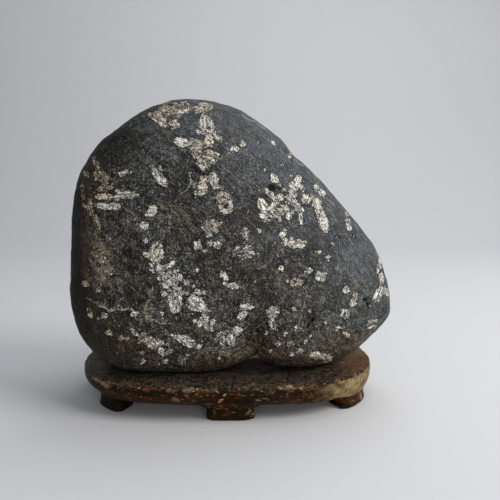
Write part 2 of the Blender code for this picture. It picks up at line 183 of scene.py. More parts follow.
    (231.5, 332, 242, 329.5, 7.8, 0.72, 0.05), (224.5, 331.5, 214, 340.5, 5, 0.68, 0.05),
    (223.5, 335, 220.5, 343.5, 6, 0.72, 0.05), (229, 333.5, 233.5, 346, 7.8, 0.82, 0.05),
    (224, 333, 230, 332, 5, 0.6, 0.6), (227, 325, 229, 330, 3.4, 0.5, 0.1),
    (230.5, 326, 231, 330, 1.6, 0.55, 0.1), (254, 281, 254, 283, 2, 0.85, 0.3),
    (278, 341, 278, 347, 3.8, 0.62, 0.4), (284.5, 336, 287, 332, 2.2, 0.8, 0.2),
    (286.5, 344, 295, 343.5, 4.2, 0.72, 0.3), (266, 332, 267, 334, 2, 0.75, 0.1),
    (270, 352, 272, 350, 2.4, 0.75, 0.3), (290.5, 355, 294, 354, 3.8, 0.85, 0.2),
    (279, 268, 284, 269, 5, 0.95, 0.3), (272, 309, 273.5, 315, 3, 0.8, 0.2),
    (251, 357, 259, 357, 2, 0.4, 0.5),
    # lower right
    (317, 272, 324, 282, 5.4, 0.9, 0.3), (315, 278, 326, 277, 5.6, 0.88, 0.3),
    (321, 276, 326, 272.5, 3, 0.8, 0.2), (288, 279, 289, 282, 3, 0.75, 0.6),
    (297.5, 282.5, 304, 282, 7.2, 0.85, 0.75), (291, 283, 295, 286, 3.4, 0.9, 0.5),
    (345.5, 286, 346.5, 294.5, 6.4, 0.9, 0.2), (356, 292, 355, 300, 3.2, 0.72, 0.2),
    (334, 330, 343.5, 329, 6.4, 0.64, 0.5), (342.5, 328, 345.5, 326.5, 1.8, 0.6, 0.2),
    (343.5, 332, 349.5, 338, 3, 0.74, 0.4), (357, 329, 358, 331, 3, 0.35, 0.2),
    (296.5, 326, 296.5, 331, 2.8, 0.9, 0.1), (308, 338, 311, 336, 3.4, 0.62, 0.1),
    (305, 343, 307, 341, 3.6, 0.45, 0.1), (296, 351, 303, 352, 5.4, 0.48, 0.5),
    (296.5, 352, 298.5, 355, 2, 0.65, 0.3), (310, 354.5, 321.5, 356, 7.4, 0.76, 0.45),
    (321, 356.5, 333, 358.5, 5.6, 0.72, 0.4), (324, 360.5, 328, 361.5, 2.4, 0.5, 0.4),
    (347.5, 219, 350, 230.5, 4, 0.68, 0.2), (346, 211, 348, 218, 2, 0.72, 0.2),
    (351, 233, 354, 238, 2, 0.55, 0.2), (379.5, 258, 380, 269, 3, 0.75, 0.2),
    (378, 267, 377.5, 274.5, 2.2, 0.7, 0.2), (381.5, 272.5, 382, 284.5, 4, 0.92, 0.2),
    (363.5, 285, 367, 286, 2, 0.5, 0.2), (382, 286.5, 374.5, 302.5, 6.4, 0.74, 0.1),
    (383, 287, 389, 296, 4, 0.6, 0.2), (325, 322, 326, 323, 1.6, 0.7, 0.3),
    (309, 310, 310, 312, 1.6, 0.75, 0.1), (293, 308, 295, 310, 1.6, 0.7, 0.2),
    (382, 311, 384, 313, 3, 0.4, 0.1), (369, 305, 371, 307, 1.8, 0.65, 0.3),
    (305.5, 272, 307.5, 270.5, 1.8, 0.85, 0.1), (311, 269, 313, 271, 1.8, 0.85, 0.1),
    # left flank
    (95.5, 197, 114, 196.4, 4.2, 0.95, 0.85), (112, 197.4, 135, 196, 3.2, 0.85, 0.15),
    (132, 195, 138, 194.8, 2, 0.85, 0.3), (115, 191.3, 135, 192.8, 2.8, 0.62, 0.3),
    (106, 199.5, 125, 199, 2.4, 0.45, 0.2), (95, 204.6, 121, 207.2, 6.6, 0.84, 0.3),
    (92.5, 203, 100, 206, 2.6, 0.55, 0.4), (119.5, 174.5, 129, 171, 5, 0.75, 0.15),
    (127, 171, 131, 173, 2, 0.6, 0.1), (97.5, 189, 112.5, 187, 5, 0.6, 0.65),
    (103, 184.5, 112, 184.5, 2.6, 0.56, 0.4), (94.5, 178.5, 100, 178, 5, 1, 0.9),
    (100.5, 176.5, 109, 178, 6, 0.7, 0.65), (97, 180.5, 104, 181, 3, 0.6, 0.65),
    (98, 172, 106, 173, 3.6, 0.45, 0.7), (93.5, 156.5, 100, 172, 4.5, 0.5, 0.8),
    (95, 172, 99, 182, 3.5, 0.5, 0.85), (98, 168, 107, 182, 5, 0.55, 0.8), (82, 205, 88, 207, 4, 0.42, 0.95),
    (88, 203, 92, 216, 5, 0.5, 0.9), (89, 198, 91, 206, 4, 0.4, 0.9), (93, 214, 100, 231, 6, 0.38, 0.85),
    (93, 192, 95, 194, 3, 0.5, 0.85), (84, 171, 88, 177, 5, 0.66, 0.9), (82, 183, 83, 200, 2.4, 0.4, 0.8),
    (102, 256, 104, 263, 6, 0.58, 0.6), (82, 282, 89, 285, 5, 0.71, 0.8), (96, 292, 100, 288, 4.4, 0.71, 0.7),
    (105, 259, 107, 261, 2, 0.76, 0.5), (105, 275, 107, 279, 2.8, 0.5, 0.3),
    (104, 282, 106, 285, 2, 0.61, 0.5), (135, 219, 137, 219, 1.6, 0.7, 0.1), (115, 233, 116, 235, 2, 0.6, 0),
    (102, 236, 104, 236, 2, 0.5, 0), (111, 275, 114, 274, 1.6, 0.5, 0.1),
)
# Crystals that show as rings, in the same words, with the width of the ring in place of how warm it is
RINGS = (
    (221.5, 193, 228, 213, 14.5, 0.75, 3.6), (156.5, 243, 157, 260.5, 12.6, 0.78, 2.8),
    (174.8, 292.5, 175.6, 311.5, 13, 0.78, 4.2), (267, 312, 278, 312, 11, 0.82, 3.2),
    (271.5, 317.5, 274, 329.5, 6.2, 0.72, 1.9), (345, 309.5, 345, 317.8, 8.6, 0.88, 2.2),
    (368.5, 327, 376.5, 321, 7.6, 0.75, 2.4), (353, 300.3, 353, 305.7, 5.4, 0.88, 1.9),
    (182, 356.5, 182, 364.5, 7.6, 0.5, 2.6), (100.8, 315.5, 107, 315.5, 6.8, 0.5, 2),
    (307, 270.5, 311, 270.5, 5, 0.95, 1.5), (204.5, 226, 219, 227, 14, 0.6, 2),
    (291, 282, 299, 282, 8, 0.7, 1.8), (222.5, 198, 224.5, 204, 4, 0.9, 1.6),
)
# Pale veins and scratches: a line of points, its width and its strength
VEINS = (
    (((88, 298.5), (95, 302.5), (99, 305.5)), 1.8, 0.4),
    (((99, 305.5), (104, 308), (110, 310.5), (120, 309.5), (130, 309), (137, 312)), 2.4, 0.6),
    (((99, 302), (108, 305.5)), 1.4, 0.4), (((112, 307), (119, 302), (123, 299)), 1.2, 0.35),
    (((152, 298), (147, 302), (145, 306), (150, 309), (153, 309)), 2, 0.4),
    (((145, 309), (148, 313), (149, 318)), 2.2, 0.4), (((134, 317), (139, 320), (145, 319)), 1.4, 0.35),
    (((145, 319), (143, 323), (139.5, 325.5)), 1.2, 0.4),
    (((146, 316), (150, 320), (158, 322), (166, 324)), 1.2, 0.5),
    (((150, 317), (165, 320), (172, 323), (180, 324), (188, 328)), 1.4, 0.3),
    (((157, 329), (150, 332)), 1.8, 0.3), (((218, 159), (229, 154)), 1.2, 0.5),
    (((155, 150), (165, 151), (172, 154), (177, 159)), 2.4, 0.35),
    (((176.5, 199.5), (184, 191), (190, 186)), 1.2, 0.5),
    (((244, 116), (252, 121), (258, 124.5), (264, 128)), 1.4, 0.5), (((296, 160), (302, 165)), 1.4, 0.5),
    (((322, 187), (334, 201)), 1, 0.35), (((326, 198), (333, 204)), 1.2, 0.45),
    (((329, 207), (337, 221)), 1.2, 0.4), (((352, 222), (358, 230)), 1.2, 0.4),
    (((306.5, 288), (306.5, 296), (304, 305), (300.5, 315), (299, 326)), 1.2, 0.45),
    (((213, 197), (218, 199)), 1.6, 0.5), (((99, 272), (108, 270)), 1, 0.4),
    (((185, 212), (191, 222), (193, 231)), 1.2, 0.25), (((207, 204), (212, 198)), 0.8, 0.3),
    (((281, 150), (287, 158), (293, 165)), 1, 0.3), (((268, 133), (281, 146)), 0.9, 0.2),
    (((203, 207), (208, 202)), 0.8, 0.35), (((360, 262), (362, 274)), 1, 0.25),
    (((376, 250), (379, 258)), 1.2, 0.5), (((314, 175), (322, 184), (331, 195), (340, 208)), 0.8, 0.3),
    (((330, 215), (341, 228), (351, 241)), 0.8, 0.25), (((284, 251), (291, 262), (297, 272)), 0.8, 0.3),
    (((316, 254), (325, 266), (332, 276)), 0.8, 0.25), (((168, 209), (176, 214), (182, 222)), 1, 0.3),
    (((165, 216), (172, 221), (177, 228)), 0.9, 0.25), (((172, 231), (180, 239), (186, 247)), 0.8, 0.2),
    (((125, 284), (133, 279), (141, 277)), 0.7, 0.3), (((93, 250), (101, 262), (104, 276)), 1, 0.2),
    (((96, 233), (99, 238)), 1.4, 0.25), (((91, 262), (97, 269)), 1.6, 0.25),
    (((110, 296), (117, 289)), 0.7, 0.2), (((254, 331), (254.5, 337), (256, 341)), 2.4, 0.25),
    (((217, 348.5), (222, 351)), 1.8, 0.3), (((228, 351), (231, 351)), 2, 0.3),
    (((285.5, 255), (286, 262)), 1.2, 0.4), (((298, 255), (298.5, 258)), 1.2, 0.35),
    (((300, 264), (304.5, 267)), 2.6, 0.35), (((319, 261), (323, 265)), 1.2, 0.5),
    (((311, 251), (319, 261)), 0.8, 0.35), (((301, 275), (305, 277)), 2, 0.35),
    (((101, 218), (106, 221)), 1, 0.35), (((98.5, 255.5), (103, 253.5), (108.5, 254)), 1.6, 0.4),
    (((99.5, 259), (107, 260)), 1.2, 0.35), (((101, 263.5), (107, 262)), 1.2, 0.35),
    (((101, 268.5), (106, 269.5), (111.5, 268.5)), 1.6, 0.4),
    (((96, 277), (101, 279.5), (106, 278.5)), 1.6, 0.4), (((110.5, 274), (116, 274.5)), 1.2, 0.35),
    (((90, 261), (93, 265), (96, 269)), 1.8, 0.35), (((337, 200), (346, 213), (352, 226)), 1.2, 0.3),
    (((308, 172), (318, 182), (328, 196)), 1.2, 0.3), (((330, 224), (336, 234), (339, 246)), 1, 0.3),
    (((345, 232), (355, 246), (362, 258)), 1, 0.3), (((237, 360), (240, 358)), 1.2, 0.4),
    (((344, 211), (350, 222)), 1.8, 0.25), (((355, 345), (363, 339.5), (370, 334)), 1, 0.4),
)
# Pits, cracks and hollows, sunk into the skin and darkened with painted shade: the ends of each one's middle
# line, its width, and its depth in millimetres
PITS = (
    (364, 298, 366, 302, 4.4, 1.2), (366.5, 302, 369, 307, 2.4, 0.8), (311, 322, 316, 317.5, 3.4, 0.9),
    (307, 328, 312, 321, 2.6, 0.8), (268, 185, 276, 190, 7, 0.8), (277, 188, 284, 190, 4, 0.6),
    (262, 193, 267, 198, 4, 0.5), (268, 203, 271, 201, 3, 0.5), (278.5, 206, 279.5, 208, 3, 0.5),
    (304, 204, 310, 207, 3, 0.4), (309, 270.5, 310, 270.5, 2, 0.6), (289.5, 244, 290.5, 244, 2.2, 0.5),
    (168, 117, 173, 116, 3, 0.5), (209.5, 158.5, 209.5, 160, 2.4, 0.5), (243, 312.5, 243.5, 313.5, 2, 0.4),
    (193, 166, 199, 172, 4, 0.5), (199, 172, 207, 175, 3, 0.5), (224, 200, 226, 207, 2.4, 0.5),
    (210, 222, 211, 223, 2.2, 0.4), (210, 227, 212, 228, 1.8, 0.4), (293, 281, 294, 281, 2.2, 0.4),
    (266, 211, 267, 212, 1.6, 0.4), (294, 217, 296, 219, 2, 0.4), (255, 352, 258, 352, 3, 0.5),
    (261, 337, 267, 340, 3.4, 0.5), (284, 150, 286, 151, 1.8, 0.5), (290, 158, 293, 161, 2.4, 0.4),
    (162, 271, 163, 272, 2, 0.4), (176, 305, 178, 306, 2, 0.4), (104, 281, 106, 283, 2, 0.5),
    (366, 286, 367, 288, 1.8, 0.4), (181, 212, 184, 214, 2, 0.4), (187, 298, 189, 298, 2, 0.4),
    (207, 311, 210, 313, 2.4, 0.4), (150, 249, 150, 252, 2.2, 0.3), (101, 202, 110, 203, 2.4, 0.4),
    (90, 186, 95, 188, 3.6, 0.5), (115, 194.4, 131, 194.3, 0.9, 0.3), (96, 200.8, 118, 201.6, 1.6, 0.4),
    (178, 150, 188, 158, 3, 0.3), (186, 133, 194, 138, 2.6, 0.3), (218, 172, 222, 180, 3, 0.3),
    (242, 268, 252, 282, 3, 0.3), (258, 278, 263, 292, 4, 0.3), (247, 290, 254, 296, 2.6, 0.3),
    (226, 350, 234, 353, 3, 0.3), (160, 228, 163, 236, 2.6, 0.3), (140, 300, 147, 304, 2.6, 0.3),
)
# Soft folds in the surface, raised or sunk and painted with their light and shade: a line of points, its
# width, and how light its painted highlight is, or how dark its painted shade where negative
FOLDS = (
    (((119, 214), (130, 220), (140, 229)), 3.5, 0.6), (((103, 244), (106, 260), (107, 278)), 6, 1.1),
    (((88, 232), (93, 246), (98, 262)), 4, 0.8), (((115, 256), (124, 263), (131, 276)), 4, 0.35),
    (((164, 203), (178, 209), (186, 218), (191, 234)), 3, 0.8),
    (((171, 211), (179, 221), (183, 234)), 2.6, 0.6), (((176, 205), (186, 210), (196, 224)), 2.4, -0.6),
    (((165, 217), (173, 226), (177, 238)), 3, -0.5), (((110, 230), (122, 240), (132, 254)), 4, -0.6),
    (((96, 228), (102, 236), (110, 246)), 3, -0.8), (((84, 228), (88, 250), (90, 276)), 4, -0.6),
    (((88, 286), (100, 292), (112, 300)), 4, -0.5), (((146, 306), (160, 312), (176, 322)), 6, 0.5),
    (((150, 296), (156, 303)), 4, 0.4), (((72, 284), (86, 280)), 3, 0.5),
    (((281, 252), (287, 262), (293, 275)), 2.4, 0.7), (((285, 250), (291, 262)), 2, 0.5),
    (((277, 254), (284, 270)), 2.4, -0.6), (((303, 290), (302, 304), (298, 318)), 3, 0.4),
    (((318, 196), (327, 209), (336, 222)), 2.4, 0.5), (((324, 192), (334, 206), (344, 222)), 2.4, -0.5),
    (((344, 248), (354, 258), (364, 272)), 3, 0.5), (((352, 240), (361, 254), (369, 270)), 3, -0.4),
    (((312, 304), (318, 318), (322, 334)), 7, 0.4), (((274, 282), (282, 286), (292, 290)), 5, 0.5),
    (((297, 316), (303, 326)), 5, 0.5), (((334, 352), (352, 340), (366, 326)), 5, 0.3),
    (((224, 350), (238, 355), (250, 351)), 5, 0.5), (((254, 330), (257, 342), (262, 352)), 3, -0.8),
    (((262, 300), (259, 316), (260, 330)), 4, -0.5), (((205, 176), (214, 196), (216, 214)), 3, -0.4),
    (((225, 168), (232, 182), (243, 196)), 5, -0.4), (((226, 140), (236, 156), (246, 168)), 5, 0.35),
    (((252, 122), (266, 136), (282, 154)), 6, 0.3), (((112, 146), (124, 152), (138, 164)), 5, 0.4),
    (((104, 140), (118, 130), (134, 124)), 5, -0.3), (((140, 182), (148, 196), (150, 206)), 4, -0.4),
    (((200, 262), (208, 278), (214, 296)), 6, -0.3), (((330, 276), (336, 290), (337, 304)), 5, -0.4),
    (((352, 276), (358, 286), (361, 298)), 4, 0.35),
)
# Brown and ochre staining: its middle and reach in pixels, and its strength
STAINS = (
    (97, 185, 16, 34, 1), (86, 200, 10, 40, 0.9), (84, 250, 14, 60, 0.8), (95, 320, 26, 24, 0.8),
    (120, 345, 34, 18, 0.9), (160, 350, 40, 16, 0.65), (178, 222, 14, 26, 0.6), (258, 292, 14, 28, 0.3),
    (262, 345, 18, 16, 0.9), (210, 362, 40, 8, 1), (300, 350, 40, 14, 0.6), (250, 218, 22, 14, 0.4),
    (300, 325, 22, 18, 0.35), (350, 338, 20, 12, 0.5), (245, 270, 26, 18, 0.35), (285, 282, 22, 14, 0.4),
    (158, 205, 6, 6, 0.5), (140, 290, 22, 24, 0.25), (110, 135, 16, 18, 0.4), (88, 280, 22, 60, 0.9),
    (90, 190, 20, 50, 0.9), (118, 342, 50, 14, 1), (352, 346, 28, 14, 1), (300, 358, 60, 8, 0.9),
    (200, 359, 60, 7, 0.9),
)
# Zones that are lighter or, where negative, darker than the rest of the rock, in the same words: some are the
# rock's own tone, others are painted shade, darkest along the left edge where the stone turns from the light,
# and painted light under the stone above the notch
SHADE_AND_TONE_ZONES = (
    (101, 254, 8, 26, 1.2), (97, 275, 10, 12, 0.6), (115, 282, 14, 16, 0.25), (76, 235, 8, 95, -1.3),
    (100, 135, 30, 12, -0.7), (135, 110, 30, 7, -0.5), (80, 320, 12, 34, -0.9), (88, 293, 8, 10, -0.6),
    (100, 345, 26, 22, -0.8), (120, 150, 22, 24, -0.5), (95, 160, 10, 30, -0.5), (190, 168, 12, 14, -0.5),
    (175, 190, 20, 20, -0.35), (128, 262, 14, 14, -0.3), (240, 215, 30, 22, -0.4), (240, 275, 26, 14, -0.2),
    (262, 320, 14, 26, -0.35), (300, 260, 34, 16, -0.3), (190, 130, 14, 8, 0.2), (172, 218, 12, 18, 0.3),
    (147, 312, 7, 10, 0.5), (300, 348, 26, 8, 0.1), (352, 262, 20, 30, 0.3), (330, 235, 18, 24, -0.2),
    (232, 352, 30, 9, 1.2), (285, 340, 20, 12, 0.1), (200, 250, 14, 30, -0.3),
)
# The middle and reach of the places where the rock's fine contrast is weakest, and strongest
CALM_PLACE, ROUGH_PLACE = (135, 300, 48, 55), (250, 170, 45, 50)
# Where the rock's cast turns from its own green to a painted blue tint of the cool light on its upper right:
# a place on that line, and how wide and high the turn is
CAST_PLACE = (230, 205, 150, 120)
# Worn patches and flecks on the stand, and one painted highlight, in the same words as the crystals: warm is
# cream at 0 and rust at 1
WEAR_AND_HIGHLIGHT = (
    (91, 376.5, 101, 382, 3.4, 0.7, 0.4), (99, 381, 110, 388, 4, 0.6, 0.45),
    (104, 386, 108, 390, 2.4, 0.3, 0.5), (140, 389, 153, 389, 5.2, 0.32, 1),
    (156, 389, 164, 390, 3.2, 0.18, 0.9), (142, 398, 153, 398, 2.7, 0.28, 1),
    (122, 395, 130, 396, 2.4, 0.14, 0.9), (180, 391, 196, 389, 4, 0.5, 0.6),
    (189, 389, 196, 388, 2.4, 0.85, 0.45), (170, 398, 181, 401, 4.3, 0.28, 0.5),
    (184, 395, 192, 399, 2.4, 0.25, 0.5), (218, 403, 224, 397.5, 3, 0.85, 0.4),
    (222.5, 397.5, 227, 393, 3, 0.85, 0.4), (206, 392, 209, 391, 2, 0.5, 0.5),
    (192, 400, 195, 401, 2, 0.6, 0.3), (120, 384, 121, 385, 2, 0.8, 0.2),
    (128, 384, 129, 385, 2.4, 0.85, 0.2), (139, 384, 140, 385, 2, 0.7, 0.3),
    (151, 385, 152, 385, 1.8, 0.6, 0.4), (172, 386, 174, 386, 1.8, 0.6, 0.2),
    (197, 380, 198, 380, 1.6, 0.8, 0.2), (233, 386, 239, 385, 1.8, 0.4, 0.7),
    (246, 383, 247, 383, 1.6, 0.8, 0.2), (250, 384, 257, 384, 3, 0.6, 0.25),
    (254, 388, 256, 388, 2.6, 0.85, 0.2), (276, 387, 284, 389, 2.6, 0.8, 0.1),
    (284, 386, 295, 386, 3, 0.9, 0.1), (290, 388, 297, 389, 2, 0.5, 0.3),
    (297, 388, 305, 388, 2.6, 0.85, 0.2), (308, 386, 316, 385, 1.8, 0.35, 0.3),
    (337, 379, 341, 382, 2, 0.75, 0.2), (335, 377, 338, 380, 1.6, 0.5, 0.2),
    (352, 374, 356, 375, 2.4, 0.85, 0.2), (345, 370, 348, 370, 2, 0.7, 0.2),
    (340, 362, 347, 363, 1.8, 0.7, 0.2), (350, 357, 356, 358, 1.4, 0.4, 0.3),
    (220, 416, 230, 414, 3.2, 0.22, 1), (226, 413, 233, 412, 2.4, 0.2, 1),
    (245, 416.5, 252, 409, 1.5, 0.75, 0.15), (250, 417.5, 256, 410, 1.4, 0.6, 0.15),
    (255.5, 413, 258.5, 408.5, 2, 0.7, 0.2), (309, 395, 310, 395, 2, 0.7, 0.4),
    (255, 401, 262, 399, 2.4, 0.5, 0.4), (240, 396, 247, 395, 1.6, 0.3, 0.5),
    (265, 394, 272, 393, 1.6, 0.3, 0.6), (262, 398, 270, 400, 1.4, 0.45, 0.4),
    (282, 398, 290, 397, 1.6, 0.3, 0.5), (213, 386, 219, 385, 1.6, 0.35, 0.5),
    (205, 404, 212, 404, 1.6, 0.35, 0.5), (230, 405, 238, 404, 1.6, 0.3, 0.5),
    # The second mark on the next line, an upright pale streak, is a painted highlight on the glossy right
    # edge of the right foot
    (193, 395, 200, 394, 1.8, 0.3, 0.6), (360, 391, 362, 402, 2.4, 0.55, 0.3),
    (349, 402, 356, 400, 2.4, 0.3, 0.6), (334, 397, 345, 393, 2, 0.6, 0.3),
)


def rise(values, low, high):
    """From 0 to 1 while the values go from low to high, which may be the smaller one."""
    return np.clip((values - low) / (high - low), 0, 1)


def photo_view(points, out):
    """How the photo's camera sees each point, given in millimetres: u and v in pixels, how many millimetres a
    pixel is there, and how squarely the surface faces the camera, which is less than 0 behind."""
    away = points - np.array(CAMERA_AT)
    down = math.radians(CAMERA_DOWN)
    depth = away[:, 1] * math.cos(down) - away[:, 2] * math.sin(down)
    up = away[:, 1] * math.sin(down) + away[:, 2] * math.cos(down)
    pixel, centre = depth / FOCAL_PIXELS, FRAME_SIDE / 2
    facing = -(out * away).sum(1) / np.linalg.norm(away, axis=1)
    return centre + away[:, 0] / pixel, centre - up / pixel, pixel, facing


def along_line(u, v, start, end):
    """How far along a line each point is, from 0 to 1, and how far from it."""
    step = np.array(end, float) - np.array(start, float)
    length = max(np.hypot(*step), SHORTEST)
    share = np.clip(((u - start[0]) * step[0] + (v - start[1]) * step[1]) / length**2, 0, 1)
    return share, np.hypot(u - start[0] - share * step[0], v - start[1] - share * step[1])


def line_gap(u, v, line):
    """How far each point is from a line of points."""
    return np.min([along_line(u, v, a, b)[1] for a, b in zip(line, line[1:])], axis=0)


def line_side(u, v, line):
    """How far each point is to one side of a line of points, less than 0 on the other side."""
    gaps, sides = [], []
    for (u0, v0), (u1, v1) in zip(line, line[1:]):
        gaps.append(along_line(u, v, (u0, v0), (u1, v1))[1])
        sides.append(((u - u0) * (v1 - v0) - (v - v0) * (u1 - u0)) / math.hypot(u1 - u0, v1 - v0))
    return np.choose(np.argmin(gaps, axis=0), sides)


def lath(u, v, mark, taper=0.35):
    """Distance outside a lath with rounded, narrower ends: less than 0 is inside it."""
    u0, v0, u1, v1, width = mark[:5]
    start, end = np.array((u0, v0), float), np.array((u1, v1), float)
    length = max(np.hypot(*(end - start)), SHORTEST)
    trim = min(END_WIDTHS * width, END_LENGTHS * length) * (end - start) / length
    share, gap = along_line(u, v, start + trim, end - trim)
    return gap - width / 2 * (1 - taper * np.abs(2 * share - 1) ** END_SHARPNESS)


def blot(u, v, middle_u, middle_v, wide, high):
    """A soft blot in the photo's frame, 1 at its middle."""
    return np.exp(-(((u - middle_u) / wide) ** 2 + ((v - middle_v) / high) ** 2))


def new_object(name, data):
    thing = bpy.data.objects.new(name, data)
    bpy.context.scene.collection.objects.link(thing)
    return thing


def evaluated_copy(thing, name):
    """A new mesh of the object with its modifiers applied. The object itself is removed."""
    graph = bpy.context.evaluated_depsgraph_get()
    graph.update()
    data = bpy.data.meshes.new_from_object(thing.evaluated_get(graph))
    data.name = name
    bpy.data.objects.remove(thing)
    return data


def surface(data):
    """The points of a mesh in millimetres, and the outward direction at each."""
    values = np.empty((2, len(data.vertices) * 3), np.float32)
    data.vertices.foreach_get("co", values[0])
    data.vertex_normals.foreach_get("vector", values[1])
    points, out = values.reshape(2, -1, 3).astype(float)
    return points / MM, out


def move_points(data, points):
    data.vertices.foreach_set("co", (points * MM).astype(np.float32).ravel())
    data.update()


def store(data, name, values, kind="FLOAT", field="value"):
    """Keeps a value for each point of a mesh, for its material to read."""
    layer = data.attributes.new(name, kind, "POINT")
    layer.data.foreach_set(field, np.asarray(values, np.float32).ravel())


def lumps(points, settings, seed):
    """The height of an uneven skin at each point, from lumps of several sizes."""
    shift = Vector((seed, 2.7 * seed, -1.3 * seed))
    total = np.zeros(len(points))
    for size, height in settings:
        total += height * np.array([noise.noise(Vector(p) / size + shift) for p in points])
    return total


def dents(points, settings, seed):
    """The depth of shallow dents that meet in low ridges, as on a knocked and water-worn stone."""
    shift = Vector((seed, -seed, 2 * seed))
    total = np.zeros(len(points))
    for size, depth in settings:
        near = np.array([noise.voronoi(Vector(p) / size + shift)[0][0] for p in points])
        total += depth * (near - 0.5)
    return total


class Nodes:
    """A short way to write a material's nodes. A value is a number, a colour, the output of a node, or the
    name of what the mesh stores for each point. Sizes are in millimetres."""

    def __init__(self, name):
        self.material = bpy.data.materials.new(name)
        self.material.use_nodes = True
        self.tree = self.material.node_tree
        self.shader = self.tree.nodes["Principled BSDF"]
        where = self.add("ShaderNodeTexCoord")
        self.place, self.normal = where.outputs["Object"], where.outputs["Normal"]

    def add(self, kind, **settings):
        node = self.tree.nodes.new(kind)
        for key, value in settings.items():
            setattr(node, key, value)
        return node

    def put(self, socket, value):
        if isinstance(value, str):
            value = self.add("ShaderNodeAttribute", attribute_name=value).outputs["Fac"]
        if isinstance(value, bpy.types.NodeSocket):
            self.tree.links.new(value, socket)
        elif socket.type == "RGBA":
            socket.default_value = (*value, 1)
        else:
            socket.default_value = value

    def shade(self, name, value):
        """Gives one of the shader's own sockets a value."""
        self.put(self.shader.inputs[name], value)

    def math(self, operation, *values):
        node = self.add("ShaderNodeMath", operation=operation)
        for socket, value in zip(node.inputs, values):
            self.put(socket, value)
        return node.outputs[0]

    def times(self, a, b):
        return self.math("MULTIPLY", a, b)

    def total(self, start, *parts):
        """start with each part added, a part being a value and its weight."""
        for value, weight in parts:
            start = self.math("MULTIPLY_ADD", value, weight, start)
        return start

    def step(self, value, low, high):
        """A smooth rise from 0 to 1 while the value goes from low to high."""
        node = self.add("ShaderNodeMapRange", interpolation_type="SMOOTHSTEP")
        for socket, part in zip(node.inputs, (value, low, high)):
            self.put(socket, part)
        return node.outputs[0]

    def mix(self, share, a, b, blend="MIX"):
        node = self.add("ShaderNodeMix", data_type="RGBA", blend_type=blend)
        self.put(node.inputs["Factor"], share)
        self.put(node.inputs["A"], a)
        self.put(node.inputs["B"], b)
        return next(s for s in node.outputs if s.type == "RGBA")

    def tint(self, colour, by, share=1.0):
        """The colour, multiplied by another in that share."""
        return self.mix(share, colour, by, "MULTIPLY")

    def vector(self, operation, a, b=(0, 0, 0), scale=1.0):
        node = self.add("ShaderNodeVectorMath", operation=operation)
        self.put(node.inputs[0], a)
        if operation == "SCALE":
            self.put(node.inputs["Scale"], scale)
        else:
            self.put(node.inputs[1], b)
        return node.outputs["Value" if operation in ("DOT_PRODUCT", "LENGTH") else "Vector"]

    def space(self, size, turn=(0, 0, 0), place=None):
        """Coordinates where one unit is as long as size along each axis, after a turn in degrees."""
        node = self.add("ShaderNodeMapping", vector_type="TEXTURE")
        self.put(node.inputs["Vector"], place or self.place)
        node.inputs["Rotation"].default_value = [math.radians(t) for t in turn]
        sizes = size if isinstance(size, tuple) else (size,) * 3
        node.inputs["Scale"].default_value = [s * MM for s in sizes]
        return node.outputs[0]

    def noise(self, size, detail, rough, turn=(0, 0, 0), place=None):
        node = self.add("ShaderNodeTexNoise")
        self.put(node.inputs["Vector"], self.space(size, turn, place))
        for name, value in (("Scale", 1), ("Detail", detail), ("Roughness", rough)):
            self.put(node.inputs[name], value)
        return node.outputs["Fac"]

    def cells(self, place, feature="F1"):
        node = self.add("ShaderNodeTexVoronoi", feature=feature)
        self.put(node.inputs["Vector"], place)
        self.put(node.inputs["Scale"], 1)
        return node.outputs

    def channel(self, colour, index):
        node = self.add("ShaderNodeSeparateColor")
        self.put(node.inputs[0], colour)
        return node.outputs[index]

    def grains(self, size, index=0, place=None):
        """A mosaic of mineral grains, each with its own even value from 0 to 1."""
        return self.channel(self.cells(self.space(size, place=place))["Color"], index)

    def seams(self, size, place=None):
        """How far each point is from the seams between the grains of the same size, in grains."""
        return self.cells(self.space(size, place=place), "DISTANCE_TO_EDGE")["Distance"]

    def flecks(self, size, share, index=0):
        """Small blots in a share of the cells, each cell as large as size."""
        cells = self.cells(self.space(size))
        chosen = self.step(self.channel(cells["Color"], index), 1 - share, 1 - share + 0.02)
        return self.times(self.step(cells["Distance"], 0.62, 0.38), chosen)

    def along_surface(self, arrow):
        """The part of an arrow that lies along the surface."""
        out = self.vector("DOT_PRODUCT", arrow, self.normal)
        return self.vector("SUBTRACT", arrow, self.vector("SCALE", self.normal, scale=out))

    def needles(self, cell, length, width, share):
        """Needles in a share of the cells, each lying in its own direction along the surface."""
        place = self.space(cell)
        cells = self.cells(place)
        away = self.along_surface(self.vector("SUBTRACT", place, cells["Position"]))
        turned = self.along_surface(self.vector("SUBTRACT", cells["Color"], (0.5, 0.5, 0.5)))
        heading = self.vector("NORMALIZE", turned)
        along = self.vector("DOT_PRODUCT", away, heading)
        beside = self.vector("SUBTRACT", away, self.vector("SCALE", heading, scale=along))
        a = self.math("DIVIDE", along, length / cell)
        b = self.math("DIVIDE", self.vector("LENGTH", beside), width / cell)
        reach = self.math("SQRT", self.total(self.times(a, a), (b, b)))
        chosen = self.step(self.channel(cells["Color"], 2), 1 - share, 1 - share + 0.1)
        return self.times(self.step(reach, 1.0, 0.55), chosen)

    def bump(self, height, strength, distance):
        node = self.add("ShaderNodeBump")
        self.put(node.inputs["Height"], height)
        node.inputs["Strength"].default_value = strength
        node.inputs["Distance"].default_value = distance * MM
        return node.outputs[0]


# Camera

def add_camera():
    data = bpy.data.cameras.new("photo_camera")
    data.lens = LENS
    data.sensor_width = SENSOR
    camera = new_object("photo_camera", data)
    camera.location = [c * MM for c in CAMERA_AT]
    camera.rotation_euler = (math.radians(90 - CAMERA_DOWN), 0, 0)
    bpy.context.scene.camera = camera


# Floor and light

FLOOR_COLOUR = (0.80, 0.80, 0.81)
# In metres: the floor's front edge and half width, where its backdrop starts, and its curve's radius and top
FLOOR_FRONT, FLOOR_HALF_WIDTH = -2.0, 3.0
BACKDROP_FROM, BACKDROP_CURVE, BACKDROP_TOP = 0.55, 0.45, 2.2
WORLD_COLOUR, WORLD_STRENGTH = (0.78, 0.83, 0.92), 0.27
